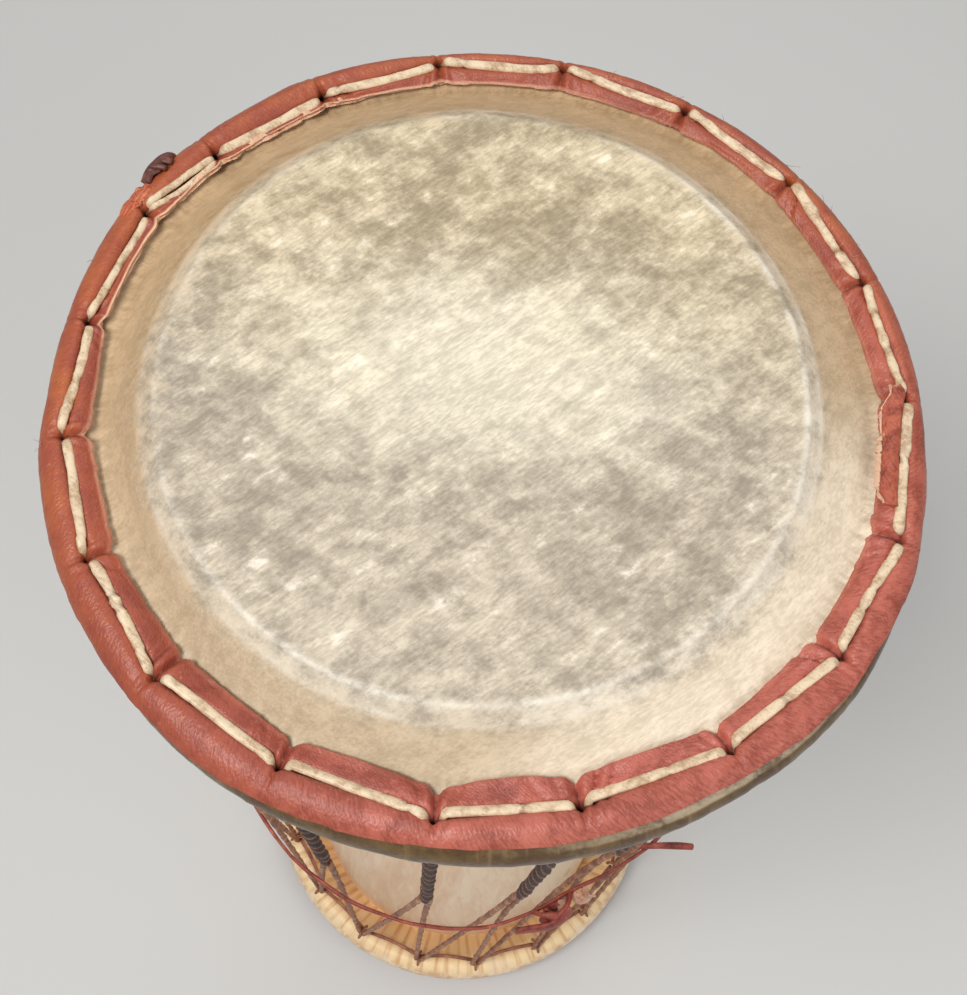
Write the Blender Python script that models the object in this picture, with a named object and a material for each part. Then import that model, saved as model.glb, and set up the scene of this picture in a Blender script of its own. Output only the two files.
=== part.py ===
# Hourglass tension drum with two laced heads, standing on its lower head.
# Metres, +Z up, origin under the middle of the lower head.
import bpy
import bmesh
from collections import namedtuple
from math import acos, atan2, cos, exp, hypot, pi, radians, sin
from mathutils import Vector

# Driving dimensions of the drum as a whole
HOOP_SPACING = 0.500          # between the middles of the two rolled rims
SKIN = 0.0012                 # goatskin thickness
FIT_GAP = 0.0004              # between pieces that touch
EDGE_BEND = 0.004             # skin's outer radius where it turns over the bearing edge
SKIN_END_DEG = -160           # how far the skin goes round the roll, from level outside

# Upper rim
UPPER_HOOP_RADIUS = 0.115     # outside of the roll
UPPER_ROLL_RADIUS = 0.0075    # the roll's own thickness, halved
UPPER_EDGE_RADIUS = 0.0836    # skin over the bearing edge, outside
UPPER_RISE = 0.0179           # playing skin above the middle of the roll

# Lower rim
LOWER_HOOP_RADIUS = 0.1025
LOWER_ROLL_RADIUS = 0.0069
LOWER_EDGE_RADIUS = 0.0800
LOWER_RISE = 0.0165

# Trough between the sloping skin and the roll
VALLEY_GAP = 0.0012           # trough's bottom inside the roll's inner side
VALLEY_DEPTH = 0.0037         # trough's bottom below the roll's crest

# Shell
SHELL_WALL = 0.009
WAIST_RADIUS = 0.043
BELL_HEIGHT = 0.195           # from each mouth to the straight waist
BELL_CURVE = 1.35             # fuller bells with a smaller power

# Leather band over each roll
BAND_THICKNESS = 0.0013
BAND_EDGE_DEG = 58            # where the outer edge lies on the roll, from level
BAND_REACH = 0.0031           # inner edge up the skin's slope, between two holes
BAND_NOTCH = 0.0006           # the same at a hole
BAND_PUFF = 0.0009            # leather standing up between two holes, at the band's middle
BAND_PUFF_SHARES = (0.3, 0.7, 1, 0.8, 0.4, 0.2)     # from the inner edge to the outer one
BAND_PUFF_POWER = 0.7         # steeper beside the holes with a smaller power

# Stitching of the bands
STITCHES = 19
FIRST_HOLE_DEG = 152.9        # beside the knot, counted from +X
SHORT_STITCH_DEG = 14.0       # the last stitch, closing the round
HAND_DRIFT_DEG = -2.8         # holes wandering off an even spacing
DRIFT_AT_DEG = 228.0
DRIFT_SPREAD_DEG = 33.0
LACE_RADIUS = 0.0013
STITCH_INSET = 0.0009         # stitch line inside the roll's crest

# Tension lacing between the rims
THONG_RADIUS = 0.0013
STRAND_SPACING = 2.5 * THONG_RADIUS
LOWER_SKEW_DEG = -6.8         # lower bends against the upper ones
LOWER_BEND_INSET = 0.0002     # lower bends inside the lower roll's crest
SPLIT_DROP = 0.172            # two runs part this far below the upper roll's middle

# Belt round the lacing
BELT_DROP = 0.264             # below the upper roll's middle
BELT_RADIUS = 0.1018          # middle of the thong
BELT_THICKNESS = 0.0024
BELT_KNOT_DEG = -66.0
KNOT_SIZE = 0.0065            # from its middle to each side
KNOT_DEPTH = 0.0036           # from its middle, in and out
KNOT_STANDOFF = 0.0049        # middle of the knot outside the belt's
TAIL_DEG = -37.0
TAIL_AROUND = 0.009           # loose end along the belt
TAIL_OUT = 0.0108             # loose end away from the belt
TAIL_SAG = 0.0018
TAIL_THICKNESS = 0.0022

# Knotted thong end on the upper rim
RIM_KNOT_DEG = 146.0
RIM_KNOT_SPREAD_DEG = 4.2     # each way round the rim
RIM_KNOT_LOW_DEG = 35         # its ends on the roll, from level
RIM_KNOT_HIGH_DEG = 10        # its middle on the roll
RIM_KNOT_THICKNESS = 0.0046
RIM_KNOT_END = 0.35           # thickness at its ends, as a share
RIM_KNOT_LUMP = 0.0012        # standing further off beside the middle

# Facets
SMOOTH_BELOW_DEG = 35
TURN_STEPS = 48
SHELL_STEPS = 32
BELL_STEPS = 6
ROLL_STEPS = 6
STITCH_STEPS = 4
HIDDEN_STITCH_STEPS = 3       # on the underside
CORD_SIDES = 5
KNOT_STEPS = 20
RIM_KNOT_STEPS = 8
RIM_KNOT_SIDES = 8

Rim = namedtuple("Rim", "plane up hoop roll edge rise")
lower = Rim(LOWER_RISE, -1, LOWER_HOOP_RADIUS, LOWER_ROLL_RADIUS, LOWER_EDGE_RADIUS, LOWER_RISE)
upper = Rim(LOWER_RISE + HOOP_SPACING, 1, UPPER_HOOP_RADIUS, UPPER_ROLL_RADIUS,
            UPPER_EDGE_RADIUS, UPPER_RISE)


# Materials and mesh helpers

def material(name, colour, roughness):
    mat = bpy.data.materials.new(name)
    mat.use_nodes = True
    shader = mat.node_tree.nodes["Principled BSDF"]
    shader.inputs["Base Color"].default_value = (*colour, 1)
    shader.inputs["Roughness"].default_value = roughness
    shader.inputs["Metallic"].default_value = 0.0
    return mat


def add_object(name, bm, mat):
    bmesh.ops.recalc_face_normals(bm, faces=bm.faces)
    mesh = bpy.data.meshes.new(name)
    bm.to_mesh(mesh)
    bm.free()
    mesh.shade_smooth()
    mesh.set_sharp_from_angle(angle=radians(SMOOTH_BELOW_DEG))
    mesh.materials.append(mat)
    obj = bpy.data.objects.new(name, mesh)
    bpy.context.collection.objects.link(obj)
    return obj


def turned(name, outline, closed, steps, mat):
    """Spin an outline of (radius, height) points round the Z axis."""
    bm = bmesh.new()
    verts = [bm.verts.new((r, 0, z)) for r, z in outline]
    chain = list(zip(verts, verts[1:] + verts[:1])) if closed else list(zip(verts, verts[1:]))
    edges = [bm.edges.new(pair) for pair in chain]
    bmesh.ops.spin(bm, geom=verts + edges, cent=(0, 0, 0), axis=(0, 0, 1),
                   angle=2 * pi, steps=steps, use_merge=True)
    bmesh.ops.remove_doubles(bm, verts=bm.verts, dist=1e-6)
    return add_object(name, bm, mat)


def lofted(sections, closed):
    """Join closed cross-sections of equal point count, end to end."""
    bm = bmesh.new()
    rings = [[bm.verts.new(p) for p in section] for section in sections]
    pairs = list(zip(rings, rings[1:] + rings[:1])) if closed else list(zip(rings, rings[1:]))
    for a, b in pairs:
        for i in range(len(a)):
            j = (i + 1) % len(a)
            bm.faces.new((a[i], a[j], b[j], b[i]))
    if not closed:
        bm.faces.new(rings[0])
        bm.faces.new(rings[-1])
    return bm


def cord_sections(points, radii, closed, sides=CORD_SIDES):
    """Cross-sections of a cord that runs round the drum, flat side facing outwards."""
    sections = []
    count = len(points)
    for i, (p, radius) in enumerate(zip(points, radii)):
        before = points[i - 1] if closed or i > 0 else p
        after = points[(i + 1) % count] if closed or i < count - 1 else p
        into = (p - before).normalized() if before != p else (after - p).normalized()
        out = (after - p).normalized() if after != p else into
        along = (into + out).normalized()
        outward = Vector((p.x, p.y, 0)).normalized()
        side = along.cross(outward).normalized()
        outward = side.cross(along).normalized()
        stretch = 1 / max(0.6, along.dot(into))
        turn = out - into
        bend = turn.normalized() if turn.length > 1e-6 else side
        ring = []
        for k in range(sides):
            a = 2 * pi * (k + 0.5) / sides
            offset = side * (radius * cos(a)) + outward * (radius * sin(a))
            offset += bend * (offset.dot(bend) * (stretch - 1))
            ring.append(p + offset)
        sections.append(ring)
    return sections


def cord(name, points, radius, closed, mat):
    sections = cord_sections(points, [radius] * len(points), closed)
    return add_object(name, lofted(sections, closed), mat)


def polar(radius, degrees, z):
    a = radians(degrees)
    return Vector((radius * cos(a), radius * sin(a), z))


# Shape of a rim, in (radius, height above the middle of its roll)

def roll_centre(rim):
    return rim.hoop - rim.roll


def roll_point(rim, degrees):
    a = radians(degrees)
    return roll_centre(rim) + rim.roll * cos(a), rim.roll * sin(a)


def bend_centre(rim):
    return rim.edge - EDGE_BEND, rim.rise - EDGE_BEND


def valley(rim):
    return roll_centre(rim) - rim.roll - VALLEY_GAP, rim.roll - VALLEY_DEPTH


def bend_arc(rim, radius, reached, steps):
    """Arc over the bearing edge, from level to where a line to the point reached leaves it."""
    cr, cz = bend_centre(rim)
    dr, dz = reached[0] - cr, reached[1] - cz
    last = atan2(dz, dr) + acos(radius / hypot(dr, dz))
    angles = [pi / 2 + (last - pi / 2) * i / steps for i in range(steps + 1)]
    return [(cr + radius * cos(a), cz + radius * sin(a)) for a in angles]


def crest_line(rim, steps=2):
    """Skin from the trough up to the roll's crest."""
    (vr, vz), (cr, cz) = valley(rim), roll_point(rim, 90)
    shares = [i / steps for i in range(steps + 1)]
    return [(vr + (cr - vr) * s, vz + (cz - vz) * sin(s * pi / 2) ** 2) for s in shares]


def placed(rim, outline):
    return [(r, rim.plane + rim.up * z) for r, z in outline]


def offset_line(points, distances):
    """Move each point of a line to its left by a distance, with mitred corners."""
    moved = []
    for i, ((r, z), d) in enumerate(zip(points, distances)):
        r0, z0 = points[max(i - 1, 0)]
        r1, z1 = points[min(i + 1, len(points) - 1)]
        before = Vector((r - r0, z - z0)).normalized() if i > 0 else None
        after = Vector((r1 - r, z1 - z)).normalized() if i < len(points) - 1 else None
        before = before or after
        after = after or before
        along = (before + after).normalized()
        reach = d / max(0.5, along.dot(before))
        moved.append((r - along.y * reach, z + along.x * reach))
    return moved


# Pieces

def make_head(name, rim, mat):
    over = bend_arc(rim, EDGE_BEND, valley(rim), 2)
    turn = SKIN_END_DEG - 90
    roll = [roll_point(rim, 90 + turn * i / ROLL_STEPS) for i in range(1, ROLL_STEPS + 1)]
    under = bend_arc(rim, EDGE_BEND - SKIN, roll[-1], 1)
    outline = [(0, rim.rise)] + over + crest_line(rim) + roll
    outline += under[::-1] + [(0, rim.rise - SKIN)]
    return turned(name, placed(rim, outline), False, TURN_STEPS, mat)


def mouth(rim):
    """Bearing edge of the shell, outer side first."""
    cr, cz = bend_centre(rim)
    radius = EDGE_BEND - SKIN - FIT_GAP
    arc = [(cr + radius * cos(a), cz + radius * sin(a)) for a in (0, pi / 4, pi / 2)]
    inner = cr + radius - SHELL_WALL
    return arc + [(inner + radius, cz + radius), (inner, cz)]


def bell(rim):
    """Outer wall from the waist to the mouth."""
    mouth_radius, mouth_height = mouth(rim)[0]
    mouth_z = rim.plane + rim.up * mouth_height
    rows = []
    for i in range(BELL_STEPS + 1):
        s = i / BELL_STEPS
        radius = WAIST_RADIUS + (mouth_radius - WAIST_RADIUS) * sin(s * pi / 2) ** BELL_CURVE
        rows.append((radius, mouth_z - rim.up * BELL_HEIGHT * (1 - s)))
    return rows


def make_shell(mat):
    wall = bell(lower)[::-1] + bell(upper)
    inner = offset_line(wall, [SHELL_WALL] * len(wall))
    outline = wall + placed(upper, mouth(upper))[1:-1] + inner[::-1]
    outline += placed(lower, mouth(lower))[-2:0:-1]
    return turned("shell", outline, True, SHELL_STEPS, mat)


def hole_angles():
    step = (360 - SHORT_STITCH_DEG) / (STITCHES - 1)
    angles = []
    for k in range(STITCHES):
        even = FIRST_HOLE_DEG + step * k
        wander = exp(-((even - DRIFT_AT_DEG) / DRIFT_SPREAD_DEG) ** 2)
        angles.append(even + HAND_DRIFT_DEG * wander)
    return angles


def stitch_grid(steps):
    """Angles round the rim with their place along the stitch, from 0 at a hole to 1."""
    holes = hole_angles()
    holes.append(holes[0] + 360)
    grid = []
    for first, last in zip(holes, holes[1:]):
        grid += [(first + (last - first) * i / steps, i / steps) for i in range(steps)]
    return grid


def band_surface(rim, share):
    """Skin that the band lies on, from its inner edge outwards, and how far it stands up."""
    lift = sin(pi * share) ** BAND_PUFF_POWER
    vr, vz = valley(rim)
    tr, tz = bend_arc(rim, EDGE_BEND, (vr, vz), 2)[-1]
    slope = Vector((tr - vr, tz - vz)).normalized()
    reach = BAND_NOTCH + (BAND_REACH - BAND_NOTCH) * lift
    line = [(vr + slope.x * reach, vz + slope.y * reach)]
    line += crest_line(rim) + [roll_point(rim, (90 + BAND_EDGE_DEG) / 2)]
    line += [roll_point(rim, BAND_EDGE_DEG)]
    return line, lift


def make_band(name, rim, steps, mat):
    sections = []
    for angle, share in stitch_grid(steps):
        line, lift = band_surface(rim, share)
        puffs = [BAND_PUFF * lift * share for share in BAND_PUFF_SHARES]
        bottom = offset_line(line, [FIT_GAP] * len(line))
        top = offset_line(line, [FIT_GAP + BAND_THICKNESS + puff for puff in puffs])
        outline = placed(rim, bottom + top[::-1])
        sections.append([polar(r, angle, z) for r, z in outline])
    return add_object(name, lofted(sections, True), mat)


def make_lace(name, rim, steps, mat):
    points = []
    for angle, share in stitch_grid(steps):
        lift = band_surface(rim, share)[1]
        height = rim.roll + 2 * FIT_GAP + BAND_THICKNESS + BAND_PUFF * lift + LACE_RADIUS
        points.append(polar(roll_centre(rim) - STITCH_INSET, angle, rim.plane + rim.up * height))
    return cord(name, points, LACE_RADIUS, True, mat)


def thong_bend(radius, degrees, z, up):
    """Half a turn of the thong, counter-clockwise round the drum."""
    half = STRAND_SPACING / 2
    turns = [pi * i / 3 for i in range(4)]
    return [polar(radius, degrees - half * cos(t) / radius * 180 / pi, z + up * half * sin(t))
            for t in turns]


def on_belt(start, end):
    """Where the belt pulls in the run from start to end."""
    z = upper.plane - BELT_DROP
    pinch = BELT_RADIUS - BELT_THICKNESS / 2 - FIT_GAP - THONG_RADIUS
    p = start.lerp(end, (start.z - z) / (start.z - end.z))
    return polar(pinch, atan2(p.y, p.x) * 180 / pi, z)


def make_lacing(mat):
    """One closed thong: down to each lower bend, then up to the next upper one.

    The run that comes up lies beside the next one down, from where they part to the upper rim.
    """
    half_turn = FIT_GAP + THONG_RADIUS + STRAND_SPACING / 2
    high = upper.plane - upper.roll - half_turn
    low = lower.plane + lower.roll + half_turn
    low_radius = roll_centre(lower) - LOWER_BEND_INSET
    ups = [thong_bend(roll_centre(upper), a, high, 1) for a in hole_angles()]
    downs = [thong_bend(low_radius, a + LOWER_SKEW_DEG, low, -1) for a in hole_angles()]
    pinches = [on_belt(up[-1], down[0]) for up, down in zip(ups, downs)]
    points = []
    for k in range(STITCHES):
        next_up, next_pinch = ups[(k + 1) % STITCHES], pinches[(k + 1) % STITCHES]
        beside = next_up[0] - next_up[-1]
        share = (next_up[-1].z - (upper.plane - SPLIT_DROP)) / (next_up[-1].z - next_pinch.z)
        parting = next_up[-1].lerp(next_pinch, share) + beside
        points += ups[k] + [pinches[k]] + downs[k]
        points += [on_belt(parting, downs[k][-1]), parting]
    return cord("tension_lacing", points, THONG_RADIUS, True, mat)


def joined(name, parts):
    """Boolean union of solids that run into each other, kept as the first one."""
    body = parts[0]
    for part in parts[1:]:
        modifier = body.modifiers.new("join " + part.name, "BOOLEAN")
        modifier.operation = "UNION"
        modifier.solver = "EXACT"
        modifier.object = part
        part.hide_render = True
        part.display_type = "WIRE"
    body.name = name
    return body


def make_belt(mat):
    """Thong round the lacing, with its knot and a loose end standing out."""
    z = upper.plane - BELT_DROP
    radius = BELT_THICKNESS / 2
    ring = [polar(BELT_RADIUS, 360 * i / TURN_STEPS, z) for i in range(TURN_STEPS)]
    out = BELT_RADIUS + KNOT_STANDOFF
    knot = []                                  # trefoil
    for i in range(KNOT_STEPS):
        t = 2 * pi * i / KNOT_STEPS
        across = KNOT_SIZE * (sin(t) + 2 * sin(2 * t)) / 2
        rise = KNOT_SIZE * (cos(t) - 2 * cos(2 * t)) / 2
        depth = KNOT_DEPTH * sin(3 * t)
        knot.append(polar(out - depth, BELT_KNOT_DEG + across / out * 180 / pi, z + rise))
    spread = TAIL_AROUND / BELT_RADIUS * 180 / pi
    tail = [polar(BELT_RADIUS + TAIL_OUT * s ** 1.5, TAIL_DEG + spread * s, z - TAIL_SAG * s)
            for s in (0, 0.35, 0.7, 1)]
    return joined("tension_belt", [cord("ring", ring, radius, True, mat),
                                   cord("knot", knot, radius, True, mat),
                                   cord("tail", tail, TAIL_THICKNESS / 2, False, mat)])


def make_rim_knot(mat):
    """Knotted thong end lying along the outside of the roll, clear of the band."""
    points = []
    radii = []
    for i in range(RIM_KNOT_STEPS + 1):
        s = i / RIM_KNOT_STEPS
        middle = sin(pi * s)
        around = radians(RIM_KNOT_LOW_DEG + (RIM_KNOT_HIGH_DEG - RIM_KNOT_LOW_DEG) * middle)
        out = upper.roll + FIT_GAP + RIM_KNOT_THICKNESS / 2 + RIM_KNOT_LUMP * sin(2 * pi * s) ** 2
        r = roll_centre(upper) + out * cos(around)
        z = upper.plane + out * sin(around)
        points.append(polar(r, RIM_KNOT_DEG + RIM_KNOT_SPREAD_DEG * (2 * s - 1), z))
        share = RIM_KNOT_END + (1 - RIM_KNOT_END) * middle ** 0.6
        radii.append(RIM_KNOT_THICKNESS / 2 * share)
    sections = cord_sections(points, radii, False, RIM_KNOT_SIDES)
    return add_object("rim_knot", lofted(sections, False), mat)


def build():
    for obj in list(bpy.data.objects):
        bpy.data.objects.remove(obj)
    wood = material("pale_wood", (0.72, 0.60, 0.48), 0.55)
    skin = material("goatskin", (0.52, 0.45, 0.31), 0.5)
    pleated = material("pleated_skin", (0.78, 0.66, 0.42), 0.6)
    red = material("red_leather", (0.36, 0.085, 0.05), 0.5)
    rawhide = material("rawhide", (0.70, 0.58, 0.42), 0.6)
    thong = material("twisted_thong", (0.23, 0.09, 0.045), 0.65)
    red_thong = material("red_thong", (0.40, 0.10, 0.065), 0.55)
    dark = material("dark_thong", (0.09, 0.035, 0.025), 0.6)
    make_shell(wood)
    make_head("upper_head", upper, skin)
    make_head("lower_head", lower, pleated)
    make_band("upper_rim_band", upper, STITCH_STEPS, red)
    make_band("lower_rim_band", lower, HIDDEN_STITCH_STEPS, red)
    make_lace("upper_rim_lace", upper, STITCH_STEPS, rawhide)
    make_lace("lower_rim_lace", lower, HIDDEN_STITCH_STEPS, thong)
    make_lacing(thong)
    make_belt(red_thong)
    make_rim_knot(dark)


build()
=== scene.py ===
import random
from math import acos, atan2, cos, degrees, exp, hypot, pi, radians, sin

import bpy
from mathutils import Matrix, Vector, noise


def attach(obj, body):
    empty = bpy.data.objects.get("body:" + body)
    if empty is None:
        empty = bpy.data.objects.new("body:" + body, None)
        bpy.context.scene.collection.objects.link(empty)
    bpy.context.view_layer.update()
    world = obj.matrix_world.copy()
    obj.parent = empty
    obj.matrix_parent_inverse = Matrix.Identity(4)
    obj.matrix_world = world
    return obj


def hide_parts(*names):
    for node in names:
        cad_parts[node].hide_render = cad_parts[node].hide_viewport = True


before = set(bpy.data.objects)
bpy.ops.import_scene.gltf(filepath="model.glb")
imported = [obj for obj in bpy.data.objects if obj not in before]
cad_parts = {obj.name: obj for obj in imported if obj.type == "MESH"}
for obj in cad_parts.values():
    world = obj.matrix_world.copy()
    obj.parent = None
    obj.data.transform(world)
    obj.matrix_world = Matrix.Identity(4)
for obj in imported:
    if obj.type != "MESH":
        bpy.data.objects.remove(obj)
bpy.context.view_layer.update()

print("frame loaded")

# two rims, heights are counted from the middle of each roll towards its head
upperRim = {"plane": 0.5165, "up": 1, "hoop": 0.115, "roll": 0.0075, "edge": 0.0836, "rise": 0.0179}
lowerRim = {"plane": 0.0165, "up": -1, "hoop": 0.1025, "roll": 0.0069, "edge": 0.0800, "rise": 0.0165}
skin = {"thickness": 0.0012, "edgeBend": 0.004, "valleyGap": 0.0012, "valleyDepth": 0.0037,
        "stitchInset": 0.0009, "endDegrees": -160, "gap": 0.0004, "axisRadius": 0.0008,
        "bendSteps": 8, "slopeSteps": 12, "troughSteps": 10, "rollStep": 7}

# stitch hole on the rim, then the band's width inside the stitching at the hole and half-way on, mm
stitches = [(152.9, 4.6, 4.6), (172.1, 4.4, 6.4), (189.8, 4.4, 7.3), (208.0, 5.7, 7.9),
            (226.8, 8.0, 10.4), (246.6, 8.9, 11.8), (267.1, 8.4, 12.8), (285.5, 10.4, 12.1),
            (306.1, 8.7, 9.8), (325.5, 8.2, 8.0), (343.9, 6.4, 7.2), (364.8, 6.1, 7.3),
            (383.8, 7.2, 7.5), (403.0, 6.5, 6.2), (422.4, 6.8, 7.6), (442.2, 7.2, 8.0),
            (461.3, 7.0, 8.3), (479.9, 6.0, 7.2), (498.9, 5.4, 4.9)]
holeDegrees = [s[0] for s in stitches]
stitchCount = len(stitches)
# each hole outside (+) or inside (-) the even stitch line, mm
holeOffsets = [-0.5, -0.5, 1.8, 1.2, 1.5, -1.0, -0.5, -2.2, -1.1, 0.7, 1.8, 1.6, 0.1, 0.5, -0.2,
               0.3, -0.2, -2.9, -2.7]

# the hand-bent hoop off a true circle, (degrees, mm)
hoopDrift = [(0, 0.0), (20, -0.6), (50, -0.6), (90, -1.0), (125, 0.5), (150, 0.3), (190, -1.0),
             (220, -1.1), (245, 0.0), (270, 0.6), (335, 0.4), (360, 0.0)]
# the roll is slimmer where the band wraps down its side, and flatter at the back, (degrees, mm)
rollSlim = [(0, 2.5), (20, 2.2), (40, 2.6), (90, 2.7), (125, 2.2), (150, 1.6), (165, 2.4), (182, 2.2),
            (192, 0.8), (212, 0.1), (232, -0.7), (245, -0.5), (262, 0.0), (300, -0.1), (322, -1.2),
            (338, 0.2), (350, 1.6), (360, 2.5)]
rollSink = [(0, 0.5), (40, 1.0), (60, 1.7), (115, 1.8), (122, 1.2), (130, 1.8), (150, 0.6), (170, 0.6),
            (190, 0.0), (340, 0.0), (360, 0.5)]


def crestRadius(rim):
    return rim["hoop"] - rim["roll"]


def stitchRadius(rim):
    return crestRadius(rim) - skin["stitchInset"]


# small maths

def clamp(x, low=0.0, high=1.0):
    return max(low, min(high, x))


def ease(x, low, high):
    t = clamp((x - low) / (high - low))
    return t * t * (3 - 2 * t)


def hump(x, width):
    return exp(-(x / width) ** 2)


def between(a, b, t):
    return a + (b - a) * t


def turnGap(a, b):
    return (a - b + 180) % 360 - 180


def polar(radius, angle, z):
    a = radians(angle)
    return Vector((radius * cos(a), radius * sin(a), z))


def ripple(x, y, z=0.0):
    return noise.noise(Vector((x, y, z)))


def roundRipple(angle, count, other=0.0):
    # ripple that closes on itself round the drum, about count waves in all
    a, k = radians(angle), count / (2 * pi)
    return ripple(k * cos(a) + 7.3, k * sin(a) - 3.1, other)


def atAngle(table, angle):
    angle %= 360
    for (a0, v0), (a1, v1) in zip(table, table[1:]):
        if a0 <= angle <= a1:
            return between(v0, v1, ease(angle, a0, a1))
    return table[-1][1]


def linear(r, g, b):
    # 0-255 screen colour to a shader colour
    def one(c):
        c /= 255
        return c / 12.92 if c <= 0.04045 else ((c + 0.055) / 1.055) ** 2.4
    return (one(r), one(g), one(b), 1)


def shares(count):
    return [i / count for i in range(1, count + 1)]


def runAlong(rows):
    # distance along a profile of (radius, height) points, from the axis
    reaches, run, before = [], 0.0, (0.0, rows[0][1])
    for r, z in rows:
        run += hypot(r - before[0], z - before[1])
        before = (r, z)
        reaches.append(run)
    return reaches


def profileNormal(rows, i):
    # points to the left of the way that the profile runs
    (r0, z0), (r1, z1) = rows[max(i - 1, 0)], rows[min(i + 1, len(rows) - 1)]
    size = hypot(r1 - r0, z1 - z0)
    return -(z1 - z0) / size, (r1 - r0) / size


# profile of the skin from the flat head over the bearing edge, the trough and the roll

def rimProfile(rim, lastDegrees):
    bend = skin["edgeBend"]
    bendR, bendZ = rim["edge"] - bend, rim["rise"] - bend
    crestR, crestZ = crestRadius(rim), rim["roll"]
    valleyR, valleyZ = crestR - rim["roll"] - skin["valleyGap"], crestZ - skin["valleyDepth"]
    reachR, reachZ = valleyR - bendR, valleyZ - bendZ
    leave = atan2(reachZ, reachR) + acos(bend / hypot(reachR, reachZ))
    points = []
    for i in range(skin["bendSteps"] + 1):
        a = between(pi / 2, leave, i / skin["bendSteps"])
        points.append((bendR + bend * cos(a), bendZ + bend * sin(a)))
    slopeR, slopeZ = points[-1]
    points += [(between(slopeR, valleyR, t), between(slopeZ, valleyZ, t))
               for t in shares(skin["slopeSteps"])]
    corner = len(points)
    points += [(between(valleyR, crestR, t), between(valleyZ, crestZ, sin(t * pi / 2) ** 2))
               for t in shares(skin["troughSteps"])]
    for t in shares(round((90 - lastDegrees) / skin["rollStep"])):
        a = radians(between(90, lastDegrees, t))
        points.append((crestR + rim["roll"] * cos(a), rim["roll"] * sin(a)))
    for _ in range(5):                         # soften the trough's corner
        old = list(points)
        for i in range(corner - 6, corner + 9):
            points[i] = tuple((old[i - 1][k] + 2 * old[i][k] + old[i + 1][k]) / 4 for k in (0, 1))
    return points


def underSkin(rim, last, steps, radii):
    # from the end of the roll's skin up to the edge, then back to the axis under the head
    edge, under = rim["edge"] - skin["edgeBend"], rim["rise"] - skin["thickness"]
    low = (rim["edge"] - skin["thickness"], rim["rise"] - skin["edgeBend"])
    rows = [(between(last[0], low[0], t), between(last[1], low[1], t)) for t in steps]
    return rows + [(r, under) for r in (edge, *radii, skin["axisRadius"])]


def measured(rim, points):
    # (distance from the stitching, radius, height) along the profile, outwards
    reaches = runAlong(points)
    zero = next(s for s, (r, z) in zip(reaches, points) if r >= stitchRadius(rim))
    return [(s - zero, r, z) for s, (r, z) in zip(reaches, points)]


rimRows = {"upper": measured(upperRim, rimProfile(upperRim, -60)),
           "lower": measured(lowerRim, rimProfile(lowerRim, -60))}


def onRim(name, angle, s, height):
    # point over the rim's skin: s outwards from the stitching, height off the skin
    rim, rows = (upperRim if name == "upper" else lowerRim), rimRows[name]
    i = 0
    while i < len(rows) - 3 and rows[i + 2][0] < s:
        i += 1
    (s0, r0, z0), (s1, r1, z1), (s2, r2, z2) = rows[i:i + 3]
    low, high = (s0, r0, z0), (s1, r1, z1)
    if s > s1:
        low, high = (s1, r1, z1), (s2, r2, z2)
    t = (s - low[0]) / (high[0] - low[0])
    r, z = between(low[1], high[1], t), between(low[2], high[2], t)
    alongR, alongZ = r2 - r0, z2 - z0
    size = hypot(alongR, alongZ)
    if name == "upper":
        height -= sink(angle, s)
    r += -alongZ / size * height
    z += alongR / size * height
    if name == "upper":
        r += drift(angle, r)
    return polar(r, angle, rim["plane"] + rim["up"] * z)


def drift(angle, r):
    stitched = stitchRadius(upperRim)
    slim = atAngle(rollSlim, angle) * clamp((r - stitched) / (upperRim["hoop"] - stitched), 0, 1.2)
    return (atAngle(hoopDrift, angle) * ease(r, 0.084, 0.100) - slim) * 0.001


def sink(angle, s):
    return atAngle(rollSink, angle) * 0.001 * ease(s, 0.0005, 0.0050)


def stitchSpan(number):
    # a stitch's first hole and the degrees to its next one
    start = holeDegrees[number]
    return start, (holeDegrees[(number + 1) % stitchCount] - start) % 360


def nearestHole(angle):
    # signed degrees from the nearest hole, and its number
    best = min(range(stitchCount), key=lambda k: abs(turnGap(angle, holeDegrees[k])))
    return turnGap(angle, holeDegrees[best]), best


def alongStitch(angle):
    # the stitch at this angle, the one after it and the share of the way between their holes
    gap, hole = nearestHole(angle)
    number = hole if gap >= 0 else (hole - 1) % stitchCount
    start, span = stitchSpan(number)
    return number, (number + 1) % stitchCount, clamp((angle - start) % 360 / span)


def grooveShift(angle):
    # the lace pulls straight from hole to hole, inside the round of the holes
    number, after, share = alongStitch(angle)
    half = stitchSpan(number)[1] / 2
    chord = cos(radians(half)) / cos(radians(half * (2 * share - 1))) - 1
    offset = between(holeOffsets[number], holeOffsets[after], share)
    return stitchRadius(upperRim) * chord + 0.001 * offset


# modelling helpers

def deselect():
    bpy.ops.object.select_all(action="DESELECT")


def turnRings(name, outline, segments):
    # a ring of vertices extruded and scaled along an outline of (radius, z)
    deselect()
    bpy.ops.mesh.primitive_circle_add(vertices=segments, radius=outline[0][0],
                                      location=(0, 0, outline[0][1]))
    obj = bpy.context.object
    obj.name = obj.data.name = name
    bpy.ops.object.transform_apply(location=True)
    bpy.ops.object.mode_set(mode="EDIT")
    bpy.ops.mesh.select_all(action="SELECT")
    for (r0, z0), (r1, z1) in zip(outline, outline[1:]):
        bpy.ops.mesh.extrude_edges_move(TRANSFORM_OT_translate={"value": (0, 0, z1 - z0)})
        bpy.ops.transform.resize(value=(r1 / r0, r1 / r0, 1), center_override=(0, 0, z1))
    bpy.ops.object.mode_set(mode="OBJECT")
    return obj


def unpick(obj):
    for group in (obj.data.polygons, obj.data.edges, obj.data.vertices):
        group.foreach_set("select", [False] * len(group))


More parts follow.
